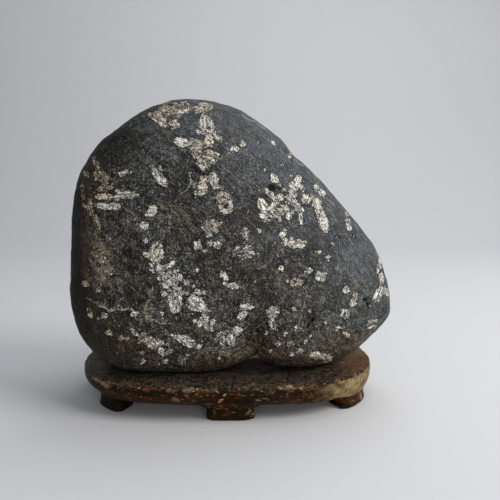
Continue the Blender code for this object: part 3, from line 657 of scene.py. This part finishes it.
# Each light's name, size, power in watts, place, aim and colour
LIGHTS = (
    ("key", (0.5, 0.6), 7.0, (0.85, -0.3, 0.7), (0.02, 0.0, 0.09), (1.0, 0.98, 0.95)),
    ("top", (0.8, 0.5), 3.4, (0.25, 0.3, 1.0), (0.0, 0.0, 0.1), (0.95, 0.97, 1.0)),
    ("front", (0.9, 0.4), 1.3, (0.35, -1.1, 0.3), (0.0, 0.0, 0.06), (1.0, 0.99, 0.97)),
    ("low", (0.9, 0.12), 1.1, (0.0, -0.7, 0.07), (0.0, 0.0, 0.04), (1.0, 0.90, 0.76)),
)


def add_stage():
    """A plain pale floor that curves up into a backdrop."""
    profile = [(FLOOR_FRONT, 0.0), (BACKDROP_FROM, 0.0)]
    for angle in np.linspace(0.1, math.pi / 2, 14):
        back, up = math.sin(angle), 1 - math.cos(angle)
        profile.append((BACKDROP_FROM + BACKDROP_CURVE * back, BACKDROP_CURVE * up))
    profile.append((BACKDROP_FROM + BACKDROP_CURVE, BACKDROP_TOP))
    mesh = bmesh.new()
    rows = [[mesh.verts.new((x, y, z)) for y, z in profile] for x in (-FLOOR_HALF_WIDTH, FLOOR_HALF_WIDTH)]
    for i in range(len(profile) - 1):
        mesh.faces.new((rows[0][i], rows[1][i], rows[1][i + 1], rows[0][i + 1]))
    data = bpy.data.meshes.new("floor")
    mesh.to_mesh(data)
    mesh.free()
    data.shade_smooth()
    floor = new_object("floor", data)
    paper = Nodes("pale_floor")
    paper.shade("Base Color", FLOOR_COLOUR)
    paper.shade("Roughness", 0.7)
    data.materials.append(paper.material)


def add_light(name, size, power, place, target, colour):
    data = bpy.data.lights.new(name, "AREA")
    data.shape = "RECTANGLE"
    data.size, data.size_y = size
    data.energy = power
    data.color = colour
    light = new_object(name, data)
    light.location = place
    light.rotation_euler = (Vector(target) - Vector(place)).to_track_quat("-Z", "Y").to_euler()


def add_lights():
    world = bpy.data.worlds.new("studio")
    world.use_nodes = True
    background = world.node_tree.nodes["Background"].inputs
    background["Color"].default_value = (*WORLD_COLOUR, 1)
    background["Strength"].default_value = WORLD_STRENGTH
    bpy.context.scene.world = world
    bpy.context.scene.view_settings.view_transform = "Standard"
    for light in LIGHTS:
        add_light(*light)


# Marks in the photo's frame

# A gap too far to matter, and how squarely the surface has to face the camera to carry the photo's marks
FAR, SEEN_LIMIT = 6.0, 0.02
# Taken times a crystal's number, this gives each crystal its own place in the noise
CRYSTAL_SHIFT = 7.3
# How much narrower a ring's ends are, and how warm its colour is
RING_TAPER, RING_WARMTH = 0.1, 0.3
# How dark a pit's painted shade is for each millimetre of its depth, and how wide its slope is
PIT_SHADE, PIT_SLOPE = 1.15, 1.2
# How far a vein waves to either side, in pixels
VEIN_WAVE = 0.7


def seen_gap(view, pixels):
    """A gap in pixels as millimetres, and FAR where the photo doesn't show the surface."""
    return np.where(view[3] < SEEN_LIMIT, FAR, pixels * view[2])


def no_crystals(count):
    """For each point: the gap to its crystal, that crystal's tone and warmth, the place along and across it,
    and the gap to the next crystal."""
    best = {"crystal": np.full(count, FAR), "tone": np.full(count, 0.7), "warm": np.full(count, 0.3)}
    best["place"] = np.zeros((count, 3))
    best["next"] = np.full(count, FAR)
    return best


def nearest(best, gap, tone, warm, places=None):
    """Keeps, for each point, the crystal that it is deepest in."""
    closer = gap < best["crystal"]
    best["next"] = np.where(closer, best["crystal"], np.minimum(best["next"], gap))
    best["crystal"][closer] = gap[closer]
    best["tone"][closer] = tone
    best["warm"][closer] = warm
    if places is not None:
        best["place"][closer] = places[closer]


def places_in(view, mark, number):
    """How far along and across a crystal each point is, and a number that tells crystals apart."""
    u, v, pixel, _ = view
    turn = math.atan2(mark[3] - mark[1], mark[2] - mark[0])
    du, dv = u - mark[0], v - mark[1]
    along = du * math.cos(turn) + dv * math.sin(turn)
    across = dv * math.cos(turn) - du * math.sin(turn)
    return np.column_stack((along * pixel, across * pixel, np.full(len(u), CRYSTAL_SHIFT * number)))


def photo_crystals(view):
    """The crystal that the photo shows nearest to each point, in the words of no_crystals."""
    u, v = view[:2]
    best = no_crystals(len(u))
    for number, mark in enumerate(CRYSTALS):
        nearest(best, seen_gap(view, lath(u, v, mark)), mark[5], mark[6], places_in(view, mark, number))
    for number, mark in enumerate(RINGS):
        half = mark[6] / 2
        gap = seen_gap(view, np.abs(lath(u, v, mark, RING_TAPER) + half) - half)
        nearest(best, gap, mark[5], RING_WARMTH, places_in(view, mark, -number))
    return best


def photo_pits(view):
    """How far each point is from the nearest pit, how deep the pits make it, and how dark their painted shade
    is, from 0 to 1.
    """
    u, v = view[:2]
    pit, depth, tone = np.full(len(u), FAR), np.zeros(len(u)), np.zeros(len(u))
    for mark in PITS:
        gap = seen_gap(view, lath(u, v, mark))
        tone[gap < pit] = min(PIT_SHADE * mark[5], 1)
        pit = np.minimum(pit, gap)
        depth = np.maximum(depth, mark[5] * rise(gap, PIT_SLOPE / 2, -PIT_SLOPE / 2))
    return pit, depth, tone


def photo_veins(view):
    """The gap to the nearest vein, how far to one side of its middle line each point is, half its width, and
    its strength."""
    u, v, pixel, _ = view
    wavy_u, wavy_v = u + VEIN_WAVE * np.sin(0.55 * v), v + VEIN_WAVE * np.sin(0.5 * u)
    vein, side = np.full((2, len(u)), FAR)
    half, tone = np.zeros((2, len(u)))
    for line, width, strength in VEINS:
        gap = seen_gap(view, line_gap(wavy_u, wavy_v, line) - width / 2)
        closer = gap < vein
        vein[closer], tone[closer] = gap[closer], strength
        side[closer] = (line_side(wavy_u, wavy_v, line) * pixel)[closer]
        half[closer] = (width / 2 * pixel)[closer]
    return {"vein": vein, "vein_side": side, "vein_half": half, "vein_tone": tone}


# Stone

# How far the crystals stand proud, how wide their slopes are, and how high a fold of strength 1 is
CRYSTALS_PROUD, CRYSTAL_SLOPE, FOLD_HEIGHT = 0.15, 0.8, 0.3
# How far about a pit the skin is made finer, and how far a vein is drawn past the ends of its line
PIT_MARGIN, VEIN_MARGIN = 0.9, 0.9
# How weathered the rock is, and how much painted sheen its faces that turn up and to the right get: from the
# way that it faces, and from where it is in millimetres
WEATHER_AND_SHEEN_FACING, WEATHER_AND_SHEEN_PLACE, WEATHER_AND_SHEEN_START = (0.45, 0, 0.5), (0.004, 0, 0.003), 0.27
# How gently the marks of the photographed side end, and the hidden side's staining starts
SEEN_FADE, HIDDEN_FADE = 0.16, 0.45
# Crystals on the hidden sides: how many there are of each kind, above which height, and a chain's spacing
HIDDEN_STARS, HIDDEN_CHAINS, HIDDEN_SINGLES = 17, 9, 60
HIDDEN_ABOVE, CHAIN_STEP = 24, 4.2
# How far each one reaches: towards the photographed side, through the stone, and round a curve
HIDDEN_LIMIT, HIDDEN_REACH, HIDDEN_CURVE = 0.06, 7, 0.2


def stone_skin():
    """The stone's own solid made finer, most of all along the crystals, with a water-worn skin."""
    rough = new_object("stone_rough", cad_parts["stone"].data.copy())
    rough.data.materials.clear()
    weld = bmesh.new()
    weld.from_mesh(rough.data)
    bmesh.ops.remove_doubles(weld, verts=weld.verts[:], dist=1e-5)
    weld.to_mesh(rough.data)
    weld.free()
    finer = rough.modifiers.new("finer", "SUBSURF")
    finer.levels = finer.render_levels = SKIN_LEVELS
    data = evaluated_copy(rough, "stone_skin")
    finer_along_crystals(data)
    data.shade_smooth()
    points, out = surface(data)
    uneven = lumps(points, SKIN_LUMPS, seed=11) + dents(points, SKIN_DENTS, seed=6)
    move_points(data, points + out * (uneven * rise(points[:, 2], SMOOTH_BELOW, ROUGH_ABOVE))[:, None])
    return data


def finer_along_crystals(data):
    """Splits the faces about the photo's pits, and those that the edges of its crystals run through."""
    view = photo_view(*surface(data))
    gap = np.abs(photo_crystals(view)["crystal"])
    gap[photo_pits(view)[0] < PIT_MARGIN] = 0
    mesh = bmesh.new()
    mesh.from_mesh(data)
    mesh.verts.ensure_lookup_table()
    nearness = sorted((min(gap[v.index] for v in face.verts), face.index) for face in mesh.faces)
    mesh.faces.ensure_lookup_table()
    chosen = [mesh.faces[i] for distance, i in nearness[:FINER_FACES] if distance < FINER_WITHIN]
    edges = list({edge for face in chosen for edge in face.edges})
    bmesh.ops.subdivide_edges(mesh, edges=edges, cuts=1, use_grid_fill=True)
    mesh.to_mesh(data)
    mesh.free()


def turned(arrow, normal, angle):
    """A copy of the arrow, turned about the normal."""
    arrow = arrow.copy()
    arrow.rotate(Matrix.Rotation(angle, 3, normal))
    return arrow


def star(draw, middle, normal, first, turn):
    """Crystals that lean out from one place."""
    for _ in range(draw.randint(3, 7)):
        turn += draw.uniform(0.5, 1.6)
        along = turned(first, normal, turn)
        half = draw.uniform(1.5, 4.5)
        yield middle + np.array(along) * half * draw.uniform(0.8, 1.6), along, half, draw.uniform(1.8, 4.2)


def chain(draw, middle, normal, first, turn):
    """Crystals strewn along one line."""
    heading = turned(first, normal, turn)
    for step in range(draw.randint(3, 7)):
        along = turned(heading, normal, draw.uniform(-1.2, 1.2))
        reach = np.array(heading) * step * CHAIN_STEP + np.array([draw.uniform(-1.5, 1.5) for _ in range(3)])
        yield middle + reach, along, draw.uniform(1.0, 3.4), draw.uniform(1.6, 4.0)


def single(draw, middle, normal, first, turn):
    """One crystal by itself."""
    yield middle, turned(first, normal, turn), draw.uniform(0.5, 2.6), draw.uniform(1.0, 3.0)


def crystal_spots(draw, candidates, points, out):
    """The middle, direction, half length and width of each hidden crystal."""
    for shape, count in ((star, HIDDEN_STARS), (chain, HIDDEN_CHAINS), (single, HIDDEN_SINGLES)):
        for _ in range(count):
            index = draw.choice(candidates)
            normal = Vector(out[index])
            first = normal.orthogonal().normalized()
            yield from shape(draw, points[index], normal, first, draw.uniform(0, math.tau))


def hidden_crystals(best, points, out, facing):
    """Crystals of the same kinds on the sides that the photo doesn't show, in seeded random places."""
    draw = random.Random(5)
    candidates = np.flatnonzero((facing < SEEN_LIMIT) & (points[:, 2] > HIDDEN_ABOVE))
    for number, (wanted, along, half, width) in enumerate(crystal_spots(draw, candidates, points, out)):
        index = int(candidates[np.argmin(((points[candidates] - wanted) ** 2).sum(1))])
        middle, normal = points[index], Vector(out[index])
        along = (along - normal * along.dot(normal)).normalized()
        away = points - middle
        a, b = away @ np.array(along), away @ np.array(normal.cross(along))
        gap = lath(a, b, (-half, 0, half, 0, width))
        through, curve = np.abs(away @ np.array(normal)), out @ np.array(normal)
        gap[(through > HIDDEN_REACH) | (curve < HIDDEN_CURVE) | (facing > HIDDEN_LIMIT)] = FAR
        places = np.column_stack((a, b, np.full(len(points), CRYSTAL_SHIFT * number)))
        nearest(best, gap, draw.uniform(0.68, 1.0), draw.uniform(0.0, 0.6) ** 2, places)


def mark_stone(data):
    """Raises and sinks the skin by its crystals, folds and pits, and stores what the material reads."""
    points, out = surface(data)
    view = photo_view(points, out)
    u, v, _, facing = view
    seen = rise(facing, SEEN_LIMIT, SEEN_LIMIT + SEEN_FADE)
    behind = np.clip(0.45 + 0.9 * lumps(points, ((38, 1.0),), seed=3), 0, 1)
    stain = behind * np.clip(-facing / HIDDEN_FADE, 0, 1)
    for *place, strength in STAINS:
        stain = np.maximum(stain, strength * blot(u, v, *place) * seen)
    # The zones' painted shade and light, with the rock's own lighter and darker tone
    shade_and_tone = sum(strength * blot(u, v, *place) * seen for *place, strength in SHADE_AND_TONE_ZONES)
    # The folds' painted light and shade; they also raise and sink the skin below
    fold = np.zeros(len(u))
    for line, width, strength in FOLDS:
        fold += strength * np.exp(-((line_gap(u, v, line) / width) ** 2)) * seen
    # Weathering and a painted sheen on the faces that turn up and to the right, where the light falls
    weather_and_sheen = out @ np.array(WEATHER_AND_SHEEN_FACING) + points @ np.array(WEATHER_AND_SHEEN_PLACE)
    weather_and_sheen = np.clip(weather_and_sheen - WEATHER_AND_SHEEN_START, -1, 1)
    # The cast: the rock's own green towards the lower left, a painted tint of cool light towards the upper
    # right
    cast_u, cast_v, wide, high = CAST_PLACE
    cast = np.clip((u - cast_u) / wide - (v - cast_v) / high, -1, 1) * seen
    calm = (blot(u, v, *CALM_PLACE) - blot(u, v, *ROUGH_PLACE)) * seen
    best = photo_crystals(view)
    hidden_crystals(best, points, out, facing)
    pit, depth, pit_shade = photo_pits(view)
    proud = CRYSTALS_PROUD * rise(best["crystal"], 0, -CRYSTAL_SLOPE)
    move_points(data, points + out * (proud - depth + FOLD_HEIGHT * fold)[:, None])
    store(data, "place", best.pop("place") * MM, "FLOAT_VECTOR", "vector")
    best["crease"] = best.pop("next") - best["crystal"]
    layers = {"pit": pit, "pit_shade": pit_shade, "stain": stain, "shade_and_tone": shade_and_tone, "weather_and_sheen": weather_and_sheen}
    layers.update({"cast": cast, "fold": fold, "calm": calm}, **best, **photo_veins(view))
    for name, values in layers.items():
        store(data, name, values)


# The way that the rock's fine streaks run, in degrees, and the size of the facets and slivers in its crystals
STREAKS = (0, -45, 0)
FACET = 1.15
SLIVER = (3.2, 1.4, 1.0)

# Colours of the rock, from its dark ground to its pale grains, of its cast, whose blue is a painted tint of
# cool light, of its weathered bloom with its painted sheen, and of its rust
BLACK_ROCK, GREY_ROCK, PALE_ROCK = (0.0035, 0.0034, 0.003), (0.032, 0.032, 0.0295), (0.27, 0.268, 0.25)
LONG_NEEDLE, SHORT_NEEDLE, SPARK = (0.25, 0.245, 0.23), (0.30, 0.295, 0.27), (0.50, 0.50, 0.47)
GREEN_CAST, BLUE_LIGHT_CAST, BLOOM_AND_SHEEN = (1.0, 1.025, 0.95), (0.93, 1.0, 1.07), (0.094, 0.104, 0.120)
DARK_RUST, PALE_RUST, RUST_TINT = (0.026, 0.015, 0.008), (0.17, 0.085, 0.030), (1.35, 0.86, 0.46)
# The two tints of the rock's larger patches, and of its smaller ones
WARM_PATCH, COOL_PATCH = (1.06, 0.99, 0.92), (0.955, 0.995, 1.05)
MAUVE_PATCH, GREEN_PATCH = (1.03, 0.955, 1.03), (0.98, 1.04, 0.975)

# Colours of the crystals, first where they are pure and then where they are warm, of veins, and the painted
# shade of hollows
BRIGHT_FACETS = (0.98, 0.98, 0.93), (0.92, 0.76, 0.48)
MIDDLE_FACETS = (0.27, 0.27, 0.26), (0.30, 0.23, 0.14)
FACET_GAPS, AROUND_CRYSTALS, HOLLOW_SHADE = (0.012, 0.010, 0.008), (0.006, 0.005, 0.004), (0.002, 0.0015, 0.001)
WARM_VEIN, COOL_VEIN = (0.62, 0.56, 0.43), (0.52, 0.53, 0.50)


def tinted(n, colour, size, one, other):
    """The colour with two tints over it in patches of a size."""
    return n.tint(colour, n.mix(n.step(n.noise(size, 3, 0.65), 0.36, 0.64), one, other))


def rock_colour(n, fine, patch):
    """Dark rock, streaked from the upper left to the lower right, blue-grey where it is worn and, as a
    painted sheen, where its faces turn up and to the right.
    """
    broad = n.noise(15, 4, 0.6)
    contrast = n.total(1.0, ("calm", -0.5))
    level = n.math("MULTIPLY_ADD", n.total(-1.45, (fine, 2.9)), contrast, -0.64)
    level = n.total(level, (patch, 1.5), (broad, 0.4), (n.grains(0.42, 1), 0.3))
    # Painted light and shade in the level: the folds' highlights and shade, the zones' shade and light, and a
    # sheen on faces that turn up and to the right
    level = n.total(level, ("fold", 0.13), ("shade_and_tone", 0.06), ("weather_and_sheen", 0.1))
    rock = n.mix(n.step(level, 0.22, 0.55), BLACK_ROCK, GREY_ROCK)
    rock = n.mix(n.step(level, 0.52, 1.1), rock, PALE_ROCK)
    thick = n.step(n.noise(6, 2, 0.5), 0.35, 0.6)
    long = n.times(n.needles(2.1, 1.5, 0.24, 0.3), n.total(0.05, (thick, 0.4)))
    rock = n.mix(long, rock, LONG_NEEDLE)
    rock = n.mix(n.times(n.needles(1.2, 0.55, 0.26, 0.25), 0.4), rock, SHORT_NEEDLE)
    sparks = n.times(n.flecks(0.85, 0.07, 2), 0.75)
    rock = n.mix(n.times(sparks, thick), rock, SPARK)
    # The rock's own green cast, turning to a painted blue tint of cool light towards the upper right
    cast = n.step(n.total(-1.4, ("cast", 1), (broad, 1.2), (patch, 1.6)), -0.8, 0.8)
    rock = n.tint(rock, n.mix(cast, GREEN_CAST, BLUE_LIGHT_CAST))
    # The bloom: blue-grey weathering and a painted sheen where the faces turn up and to the right
    bloom_and_sheen = n.step(n.total("weather_and_sheen", (broad, 0.5)), 0.1, 1.1)
    rock = n.mix(n.times(bloom_and_sheen, 0.4), rock, BLOOM_AND_SHEEN)
    # The zones scale the colour: painted shade along the left edge, painted light above the notch, and the
    # rock's own tone
    rock = n.vector("SCALE", rock, scale=n.math("MAXIMUM", n.total(1.0, ("shade_and_tone", 0.8)), 0.12))
    stain = n.times("stain", n.step(n.noise(5, 3, 0.65), 0.25, 0.6))
    rust = n.mix(n.step(n.noise(2.2, 3, 0.6), 0.5, 0.68), DARK_RUST, PALE_RUST)
    rust = n.mix(0.35, n.tint(rock, RUST_TINT), rust)
    rock = n.mix(n.times(stain, 0.9), rock, rust)
    rock = tinted(n, rock, 6, WARM_PATCH, COOL_PATCH)
    return tinted(n, rock, 1.6, MAUVE_PATCH, GREEN_PATCH)


def crystal_colour(n, place, facet, seam, edge):
    """Cream feldspar in bright facets with dark seams and gaps. edge is less than 0 inside a crystal."""
    warm = n.times("warm", 0.8)
    spots = n.noise(0.62, 2, 0.7)
    streaks = n.noise((3.0, 0.5, 1.0), 2, 0.6, place=place)
    level = n.total(-2.33, (spots, 2.4), (streaks, 1.5), ("tone", 0.8), (facet, 0.45))
    creases, seams, rim = n.step("crease", 0.4, 0.0), n.step(seam, 0.09, 0.01), n.step(edge, -0.9, -0.2)
    level = n.total(level, (creases, -0.22), (seams, -0.35), (rim, 0.06))
    colour = n.mix(n.step(level, 0.02, 0.3), FACET_GAPS, n.mix(warm, *MIDDLE_FACETS))
    return n.mix(n.step(level, 0.38, 0.72), colour, n.mix(warm, *BRIGHT_FACETS))


def add_veins(n, rock, worn):
    """The rock with its pale veins, whose edges are as worn as the crystals'."""
    across = n.math("SUBTRACT", n.math("ABSOLUTE", "vein_side"), "vein_half")
    across = n.math("MAXIMUM", across, n.total(-VEIN_MARGIN, ("vein", 1)))
    line = n.step(n.total(across, (worn, 0.35)), 0.02, -0.32)
    # The veins turn cool with the cast's painted blue light
    colour = n.mix(n.step("cast", -0.2, 0.6), WARM_VEIN, COOL_VEIN)
    colour = n.mix(n.step("vein_tone", 0.1, 0.85), rock, colour)
    return n.mix(n.times(line, n.step(n.noise(1.2, 3, 0.7), 0.40, 0.58)), rock, colour)


def porphyry():
    """Dark rock with pale crystals, veins, pits darkened with painted shade, and brown staining."""
    n = Nodes("porphyry_skin")
    fine = n.noise((0.44, 0.44, 1.3), 2, 0.75, STREAKS)
    patch = n.noise((2.8, 2.8, 4.8), 4, 0.6, STREAKS)
    place = n.add("ShaderNodeAttribute", attribute_name="place").outputs["Vector"]
    facet, seam = n.grains(SLIVER, 0, place), n.seams(SLIVER, place)
    worn = n.total(-0.82, (n.noise(0.8, 3, 0.65), 2.0), (n.grains(FACET, 1), -1.0))
    edge = n.total(worn, ("crystal", 1))
    inside = n.step(edge, 0.08, -0.10)
    shade = n.times(n.step(edge, 0.9, 0.1), 0.6)
    rock = n.mix(shade, rock_colour(n, fine, patch), AROUND_CRYSTALS)
    colour = n.mix(inside, add_veins(n, rock, worn), crystal_colour(n, place, facet, seam, edge))
    # Painted shade in the pits, darker where they are deeper, which also dims their shine
    hollow_shade = n.times(n.step(n.total("pit", (worn, 0.7)), 0.3, -0.6), "pit_shade")
    n.shade("Base Color", n.mix(n.times(hollow_shade, 0.95), colour, HOLLOW_SHADE))
    n.shade("Specular IOR Level", n.total(0.14, (n.math("MAXIMUM", hollow_shade, shade), -0.13)))
    n.shade("Roughness", n.total(0.42, (inside, 0.08), (patch, 0.3)))
    relief = n.times(inside, n.total(n.step(seam, 0.0, 0.3), (facet, 0.35)))
    height = n.total(0.0, (n.noise(1.5, 4, 0.7), 1.3), (patch, 1.6), (fine, 0.35), (relief, 0.4))
    n.shade("Normal", n.bump(height, 0.9, 0.6))
    return n.material


def make_stone():
    data = stone_skin()
    mark_stone(data)
    data.materials.append(porphyry())
    stone = new_object("stone_body", data)
    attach(stone, "root")
    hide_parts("stone")


# Stand

# The size of the voxels that round the stand's arrises, and the sizes and heights of its carving's unevenness
VOXEL = 0.85
CARVING = ((14, 0.22), (5, 0.14), (2.4, 0.08))
# The joints of the feet with the rim are softened most about this height, and this far either side of it
JOINT_HEIGHT, JOINT_REACH = 8.6, 3.2
# The chipped upper edge: its height, how far either side of it the chips reach, and how deep they are
TOP_HEIGHT, CHIP_REACH, CHIP_DEPTH = 18.6, 2.2, 2.2


def soften_joints(data):
    """Blends the feet into the rim above them, as in wood carved from one block."""
    rough = new_object("stand_joints", data)
    group = rough.vertex_groups.new(name="joints")
    heights = surface(data)[0][:, 2]
    weights = np.exp(-(((heights - JOINT_HEIGHT) / JOINT_REACH) ** 2)).round(1)
    for level in np.unique(weights[weights > 0]):
        group.add(np.flatnonzero(weights == level).tolist(), float(level), "REPLACE")
    blend = rough.modifiers.new("blend", "SMOOTH")
    blend.factor, blend.iterations, blend.vertex_group = 0.5, 14, "joints"
    return evaluated_copy(rough, "stand_skin")


def stand_skin():
    """The stand's own solid with softened arrises, chipped edges and the unevenness of carving."""
    rough = new_object("stand_rough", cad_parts["stand"].data.copy())
    rough.data.materials.clear()
    voxels = rough.modifiers.new("voxels", "REMESH")
    voxels.mode = "VOXEL"
    voxels.voxel_size = VOXEL * MM
    soft = rough.modifiers.new("soft", "SMOOTH")
    soft.factor, soft.iterations = 0.5, 2
    data = soften_joints(evaluated_copy(rough, "stand_voxels"))
    data.shade_smooth()
    points, out = surface(data)
    carved = lumps(points * np.array((0.35, 1, 1)), CARVING, seed=4)
    edge = np.clip(1 - np.abs(points[:, 2] - TOP_HEIGHT) / CHIP_REACH, 0, 1)
    edge *= np.clip(1.6 - 2 * np.abs(out[:, 2] - 0.6), 0, 1)
    bites = lumps(points * np.array((0.7, 1, 1)), ((4.5, 1.0),), seed=9)
    chips = np.clip(bites - 0.12, 0, 1) * edge * CHIP_DEPTH
    points += out * ((carved - chips) * rise(points[:, 2], 0, 1.5))[:, None]
    points[:, 2] = np.maximum(points[:, 2], 0)
    move_points(data, points)
    store(data, "chip", np.clip(chips * 2, 0, 1))
    return data


def mark_stand(data):
    """Stores where the stand's finish is worn, dusty or bare, and where shade, a sheen, a reflection and a
    highlight are painted on it.
    """
    points, out = surface(data)
    view = photo_view(points, out)
    best = no_crystals(len(points))
    for mark in WEAR_AND_HIGHLIGHT:
        nearest(best, seen_gap(view, lath(view[0], view[1], mark, 0.6)), mark[5], mark[6])
    (x, y, z), up = points.T, out[:, 2]
    flank, front, foot = np.clip(2.2 - 3 * up, 0, 1), rise(y, 6, -6), rise(z, 9, 7)
    side = flank * rise(z, 6.5, 8)
    edge = np.clip(1.3 - np.abs(up - 0.66) / 0.3, 0, 1) * rise(z, 16, 18)
    pale_behind = 0.7 * np.clip(lumps(points, ((30, 1.6),), seed=8), 0, 1) * (1 - front)
    layers = {
        # Bare wood, and the one painted highlight on the right foot
        "bare": best["crystal"],
        "bare_tone": best["tone"],
        "bare_warm": best["warm"],
        "flank": flank,
        "side": side,
        "edge": edge,
        # Dust, and a painted sheen, on the faces that turn up
        "dust_and_sheen": np.clip(1.5 * up - 0.3, 0, 1) * rise(z, 15, 18),
        # Pale at the front of the right end, painted there as the reflection of the light from the right, and
        # in worn patches of pale wood behind
        "pale": side * np.maximum(front * rise(x, 40, 76), pale_behind),
        # Painted shade on the left foot, away from the light, and the rim's painted shadow on the left part
        # of the right foot
        "foot_shade": foot * np.maximum(rise(x, -50, -60), rise(x, 61, 57) * rise(x, 40, 43)),
        "arris": edge * front * rise(x, 44, 58),
        "right_end": rise(x, 56, 72) * np.maximum(rise(up, 0.4, 0.9), 0.4 * foot),
        "left": rise(x, 60, -60),
    }
    for name, values in layers.items():
        store(data, name, values)


# The way that the wood's short fibres run, and the streaks of its pale end, in degrees
FIBRES, PALE_STREAKS = (0, -12, 0), (0, 38, 25)

# Colours of the lacquer and the wood under it: first the pairs, each from dark to light, then single ones
LACQUER = (0.0012, 0.001, 0.0008), (0.017, 0.0125, 0.009)
BROWN_WOOD = (0.010, 0.0052, 0.003), (0.10, 0.052, 0.024)
# Pale worn wood, and the painted reflection on the front of the right end
PALE_WOOD_AND_REFLECTION = (0.095, 0.058, 0.025), (0.40, 0.30, 0.16)
CREAM_WEAR = (0.09, 0.055, 0.026), (0.60, 0.47, 0.28)
RUST_WEAR = (0.035, 0.009, 0.003), (0.30, 0.085, 0.028)
LIGHT_FIBRES, DARK_ARRIS = (0.21, 0.135, 0.072), (0.004, 0.003, 0.002)
# Dust with its painted sheen on the top, and the painted shade and shadow on the feet
DUST_AND_SHEEN, FOOT_SHADE = (0.20, 0.17, 0.13), (0.0025, 0.002, 0.0018)
BROWN_FLECKS, PALE_FLECKS, CHIPPED = (0.27, 0.175, 0.085), (0.75, 0.70, 0.55), (0.30, 0.21, 0.12)
# Tints of the redder patches and of the right end, and the painted shade and warm bounce light of the flanks,
# at the right and at the left
REDDER, RIGHT_END = (1.25, 0.7, 0.55), (1.75, 1.2, 0.66)
FLANK_SHADE = (0.62, 0.41, 0.23), (0.30, 0.165, 0.075)
# How strongly the lacquer shines, and in which colour
GLOSS, GLOSS_TINT = 0.13, (1.0, 0.74, 0.48)


def dark_wood():
    """Near-black lacquer, worn along the edges to brown, red and pale wood with its grain along X, with
    painted shade on its flanks and feet, a painted sheen on its dusty top, a painted reflection at its pale
    right end and a painted highlight on its right foot.
    """
    n = Nodes("worn_lacquer")
    grain = n.noise((12, 0.8, 0.8), 3, 0.7)
    fibre = n.noise((3.6, 0.4, 0.4), 3, 0.65, FIBRES)
    blotch = n.noise((12, 5, 5), 4, 0.6)
    brown = n.mix(n.step(grain, 0.36, 0.62), *BROWN_WOOD)
    brown = n.mix(n.step(fibre, 0.53, 0.68), brown, LIGHT_FIBRES)
    brown = n.tint(brown, REDDER, n.step(n.noise((14, 7, 7), 2, 0.5), 0.52, 0.64))
    wear = n.total(-0.36, (blotch, 1), (fibre, 0.6), ("right_end", 0.13), ("side", 0.08))
    colour = n.mix(n.step(wear, 0.48, 0.6), n.mix(n.step(fibre, 0.35, 0.65), *LACQUER), brown)
    # Gritty dust on the top, with a painted sheen in place of the lacquer's shine
    gritty = n.total(n.noise(1.8, 3, 0.75), (n.grains(0.6), 0.3))
    dust_and_sheen = n.times("dust_and_sheen", n.step(gritty, 0.62, 0.84))
    colour = n.mix(n.times(dust_and_sheen, 0.7), colour, DUST_AND_SHEEN)
    colour = n.tint(colour, RIGHT_END, "right_end")
    # Painted shade on the flanks, darker towards the left, away from the light, with a painted warm bounce
    # light
    colour = n.tint(colour, n.mix("left", *FLANK_SHADE), "flank")
    # The pale right end: a painted reflection of the light from the right over the front, and pale worn wood
    # behind
    streak = n.total(n.times(blotch, 0.5), (n.noise((0.8, 0.5, 5.0), 3, 0.6, PALE_STREAKS), 0.5))
    pale = n.total("pale", (n.noise((8, 5, 5), 4, 0.6), 0.7), (fibre, 0.3))
    pale = n.step(pale, 0.62, 1.35)
    colour = n.mix(pale, colour, n.mix(n.step(streak, 0.38, 0.62), *PALE_WOOD_AND_REFLECTION))
    colour = n.mix("arris", colour, DARK_ARRIS)
    # Bare wood where the lacquer is worn through, and the one painted highlight on the right foot
    worn = n.total("bare", (n.noise((3.0, 0.42, 0.42), 3, 0.7, FIBRES), 5.0))
    bare = n.step(worn, 2.55, 1.85)
    wood = n.mix("bare_warm", n.mix("bare_tone", *CREAM_WEAR), n.mix("bare_tone", *RUST_WEAR))
    colour = n.mix(bare, colour, wood)
    flecks = n.times(n.flecks((1.7, 0.45, 0.45), 0.08), n.step(blotch, 0.42, 0.55))
    colour = n.mix(n.times(flecks, 0.7), colour, BROWN_FLECKS)
    colour = n.mix(n.times(n.flecks((0.9, 0.5, 0.5), 0.05, 1), "edge"), colour, PALE_FLECKS)
    chip = n.times("chip", n.step(fibre, 0.45, 0.6))
    colour = n.mix(n.times(chip, 0.7), colour, CHIPPED)
    # Painted shade and shadow on the feet
    n.shade("Base Color", n.mix(n.times("foot_shade", 0.94), colour, FOOT_SHADE))
    n.shade("Specular IOR Level", GLOSS)
    n.shade("Specular Tint", GLOSS_TINT)
    dull = n.math("MAXIMUM", n.math("MAXIMUM", pale, bare), dust_and_sheen)
    n.shade("Roughness", n.total(0.28, (dull, 0.3), (blotch, 0.25)))
    height = n.total(0.0, (fibre, 0.7), (grain, 0.7), (n.noise(1.3, 3, 0.65), 0.5), (bare, -0.2))
    n.shade("Normal", n.bump(height, 0.8, 0.5))
    return n.material


def make_stand():
    data = stand_skin()
    mark_stand(data)
    data.materials.append(dark_wood())
    stand = new_object("stand_body", data)
    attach(stand, "root")
    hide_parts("stand")


add_camera()
add_stage()
add_lights()
make_stone()
make_stand()
